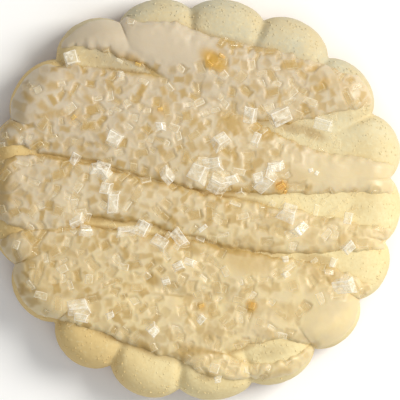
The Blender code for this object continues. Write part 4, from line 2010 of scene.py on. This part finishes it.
@dataclass(frozen=True)
class Studio:
    """The pale floor, the soft lights and the camera straight above."""

    middle: tuple[float, float] = (0.732 * MM, -0.069 * MM)
    frame_width: float = 50.0 * MM
    frame_height: float = 4.4 * MM
    camera_rise: float = 1.0
    sensor: float = 36.0
    clip: tuple[float, float] = (0.05, 10.0)
    lamps: tuple[Lamp, ...] = (
        Lamp("key", (0.30, 0.11, 0.32), 0.22, 1.9, (1.0, 0.97, 0.90)),
        Lamp("fill", (0.05, -0.3, 0.5), 0.5, 0.7, (0.92, 0.96, 1.0)),
    )
    room_light: float = 0.4
    floor_half: float = 1.5
    floor_drop: float = 0.02 * MM
    floor_shade: float = 0.93
    floor_roughness: float = 0.9

    def add_camera(self) -> None:
        """Looks straight down on the biscuit, its top edge up."""
        camera = bpy.data.cameras.new("camera")
        camera.sensor_width = self.sensor
        camera.lens = self.sensor * self.camera_rise / self.frame_width
        camera.clip_start, camera.clip_end = self.clip
        holder = bpy.data.objects.new("camera", camera)
        holder.location = (*self.middle, self.camera_rise + self.frame_height)
        bpy.context.scene.collection.objects.link(holder)
        bpy.context.scene.camera = holder

    def add_floor(self) -> None:
        """A plain pale floor just under the biscuit."""
        shape = bmesh.new()
        bmesh.ops.create_grid(shape, x_segments=1, y_segments=1, size=self.floor_half)
        bmesh.ops.translate(shape, vec=(0.0, 0.0, -self.floor_drop), verts=shape.verts)
        floor = bpy.data.objects.new("floor", mesh_from(shape, "floor"))
        weave = Weave("pale_floor")
        weave.set(Roughness=self.floor_roughness, Base_Color=(*[self.floor_shade] * 3, 1.0))
        floor.data.materials.append(weave.material)
        bpy.context.scene.collection.objects.link(floor)

    def build(self) -> None:
        """Sets up the whole studio."""
        self.add_floor()
        for lamp in self.lamps:
            lamp.add()
        world = bpy.data.worlds.new("pale_room")
        world.use_nodes = True
        room = world.node_tree.nodes["Background"]
        room.inputs["Color"].default_value = (1.0, 1.0, 1.0, 1.0)
        room.inputs["Strength"].default_value = self.room_light
        bpy.context.scene.world = world
        bpy.context.scene.view_settings.view_transform = "Standard"
        self.add_camera()


def main() -> None:
    """Builds every piece in order."""
    logging.basicConfig(level=logging.INFO, format="%(name)s: %(message)s")
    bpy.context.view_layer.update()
    outline = Outline()
    top = Top(outline)
    drizzle = Drizzle()
    scatter = SugarScatter(outline, drizzle)
    loose = scatter.loose_crystals()
    sunk = scatter.sunk_crystals()
    sunk += scatter.more_crystals(loose + sunk)
    log.info("%d loose and %d sunk crystals", len(loose), len(sunk))
    Biscuit(top, drizzle).build()
    icing = CreamIcing().make("cream_icing")
    IcingSheet("upper_icing", (0, 1), top, drizzle, sunk).build(icing)
    IcingSheet("lower_icing", (2, 3, 4, 5), top, drizzle, sunk).build(icing)
    showing = [crystal for crystal in sunk if crystal.settling is not Settling.BURIED]
    pale = [crystal for crystal in showing if crystal.tint < scatter.pale_share]
    dull = [crystal for crystal in showing if crystal.tint >= scatter.pale_share]
    amber = scatter.amber_crystals()
    sugar = SugarPiece(top, drizzle)
    sugar.build("loose_sugar", loose, ClearSugar().make("clear_sugar"), "sugar")
    sugar.build("half_sunk_sugar", pale, HALF_SUNK_SUGAR.make("half_sunk_sugar"), "sugar")
    sugar.build("sunken_sugar", dull, SUGAR_IN_ICING.make("sugar_in_icing"), "sugar")
    sugar.build("amber_sugar", amber, AMBER_SUGAR.make("amber_sugar"), "amber_sugar")
    Crumbs(top, drizzle).build()
    Studio().build()


if __name__ == "__main__":
    main()
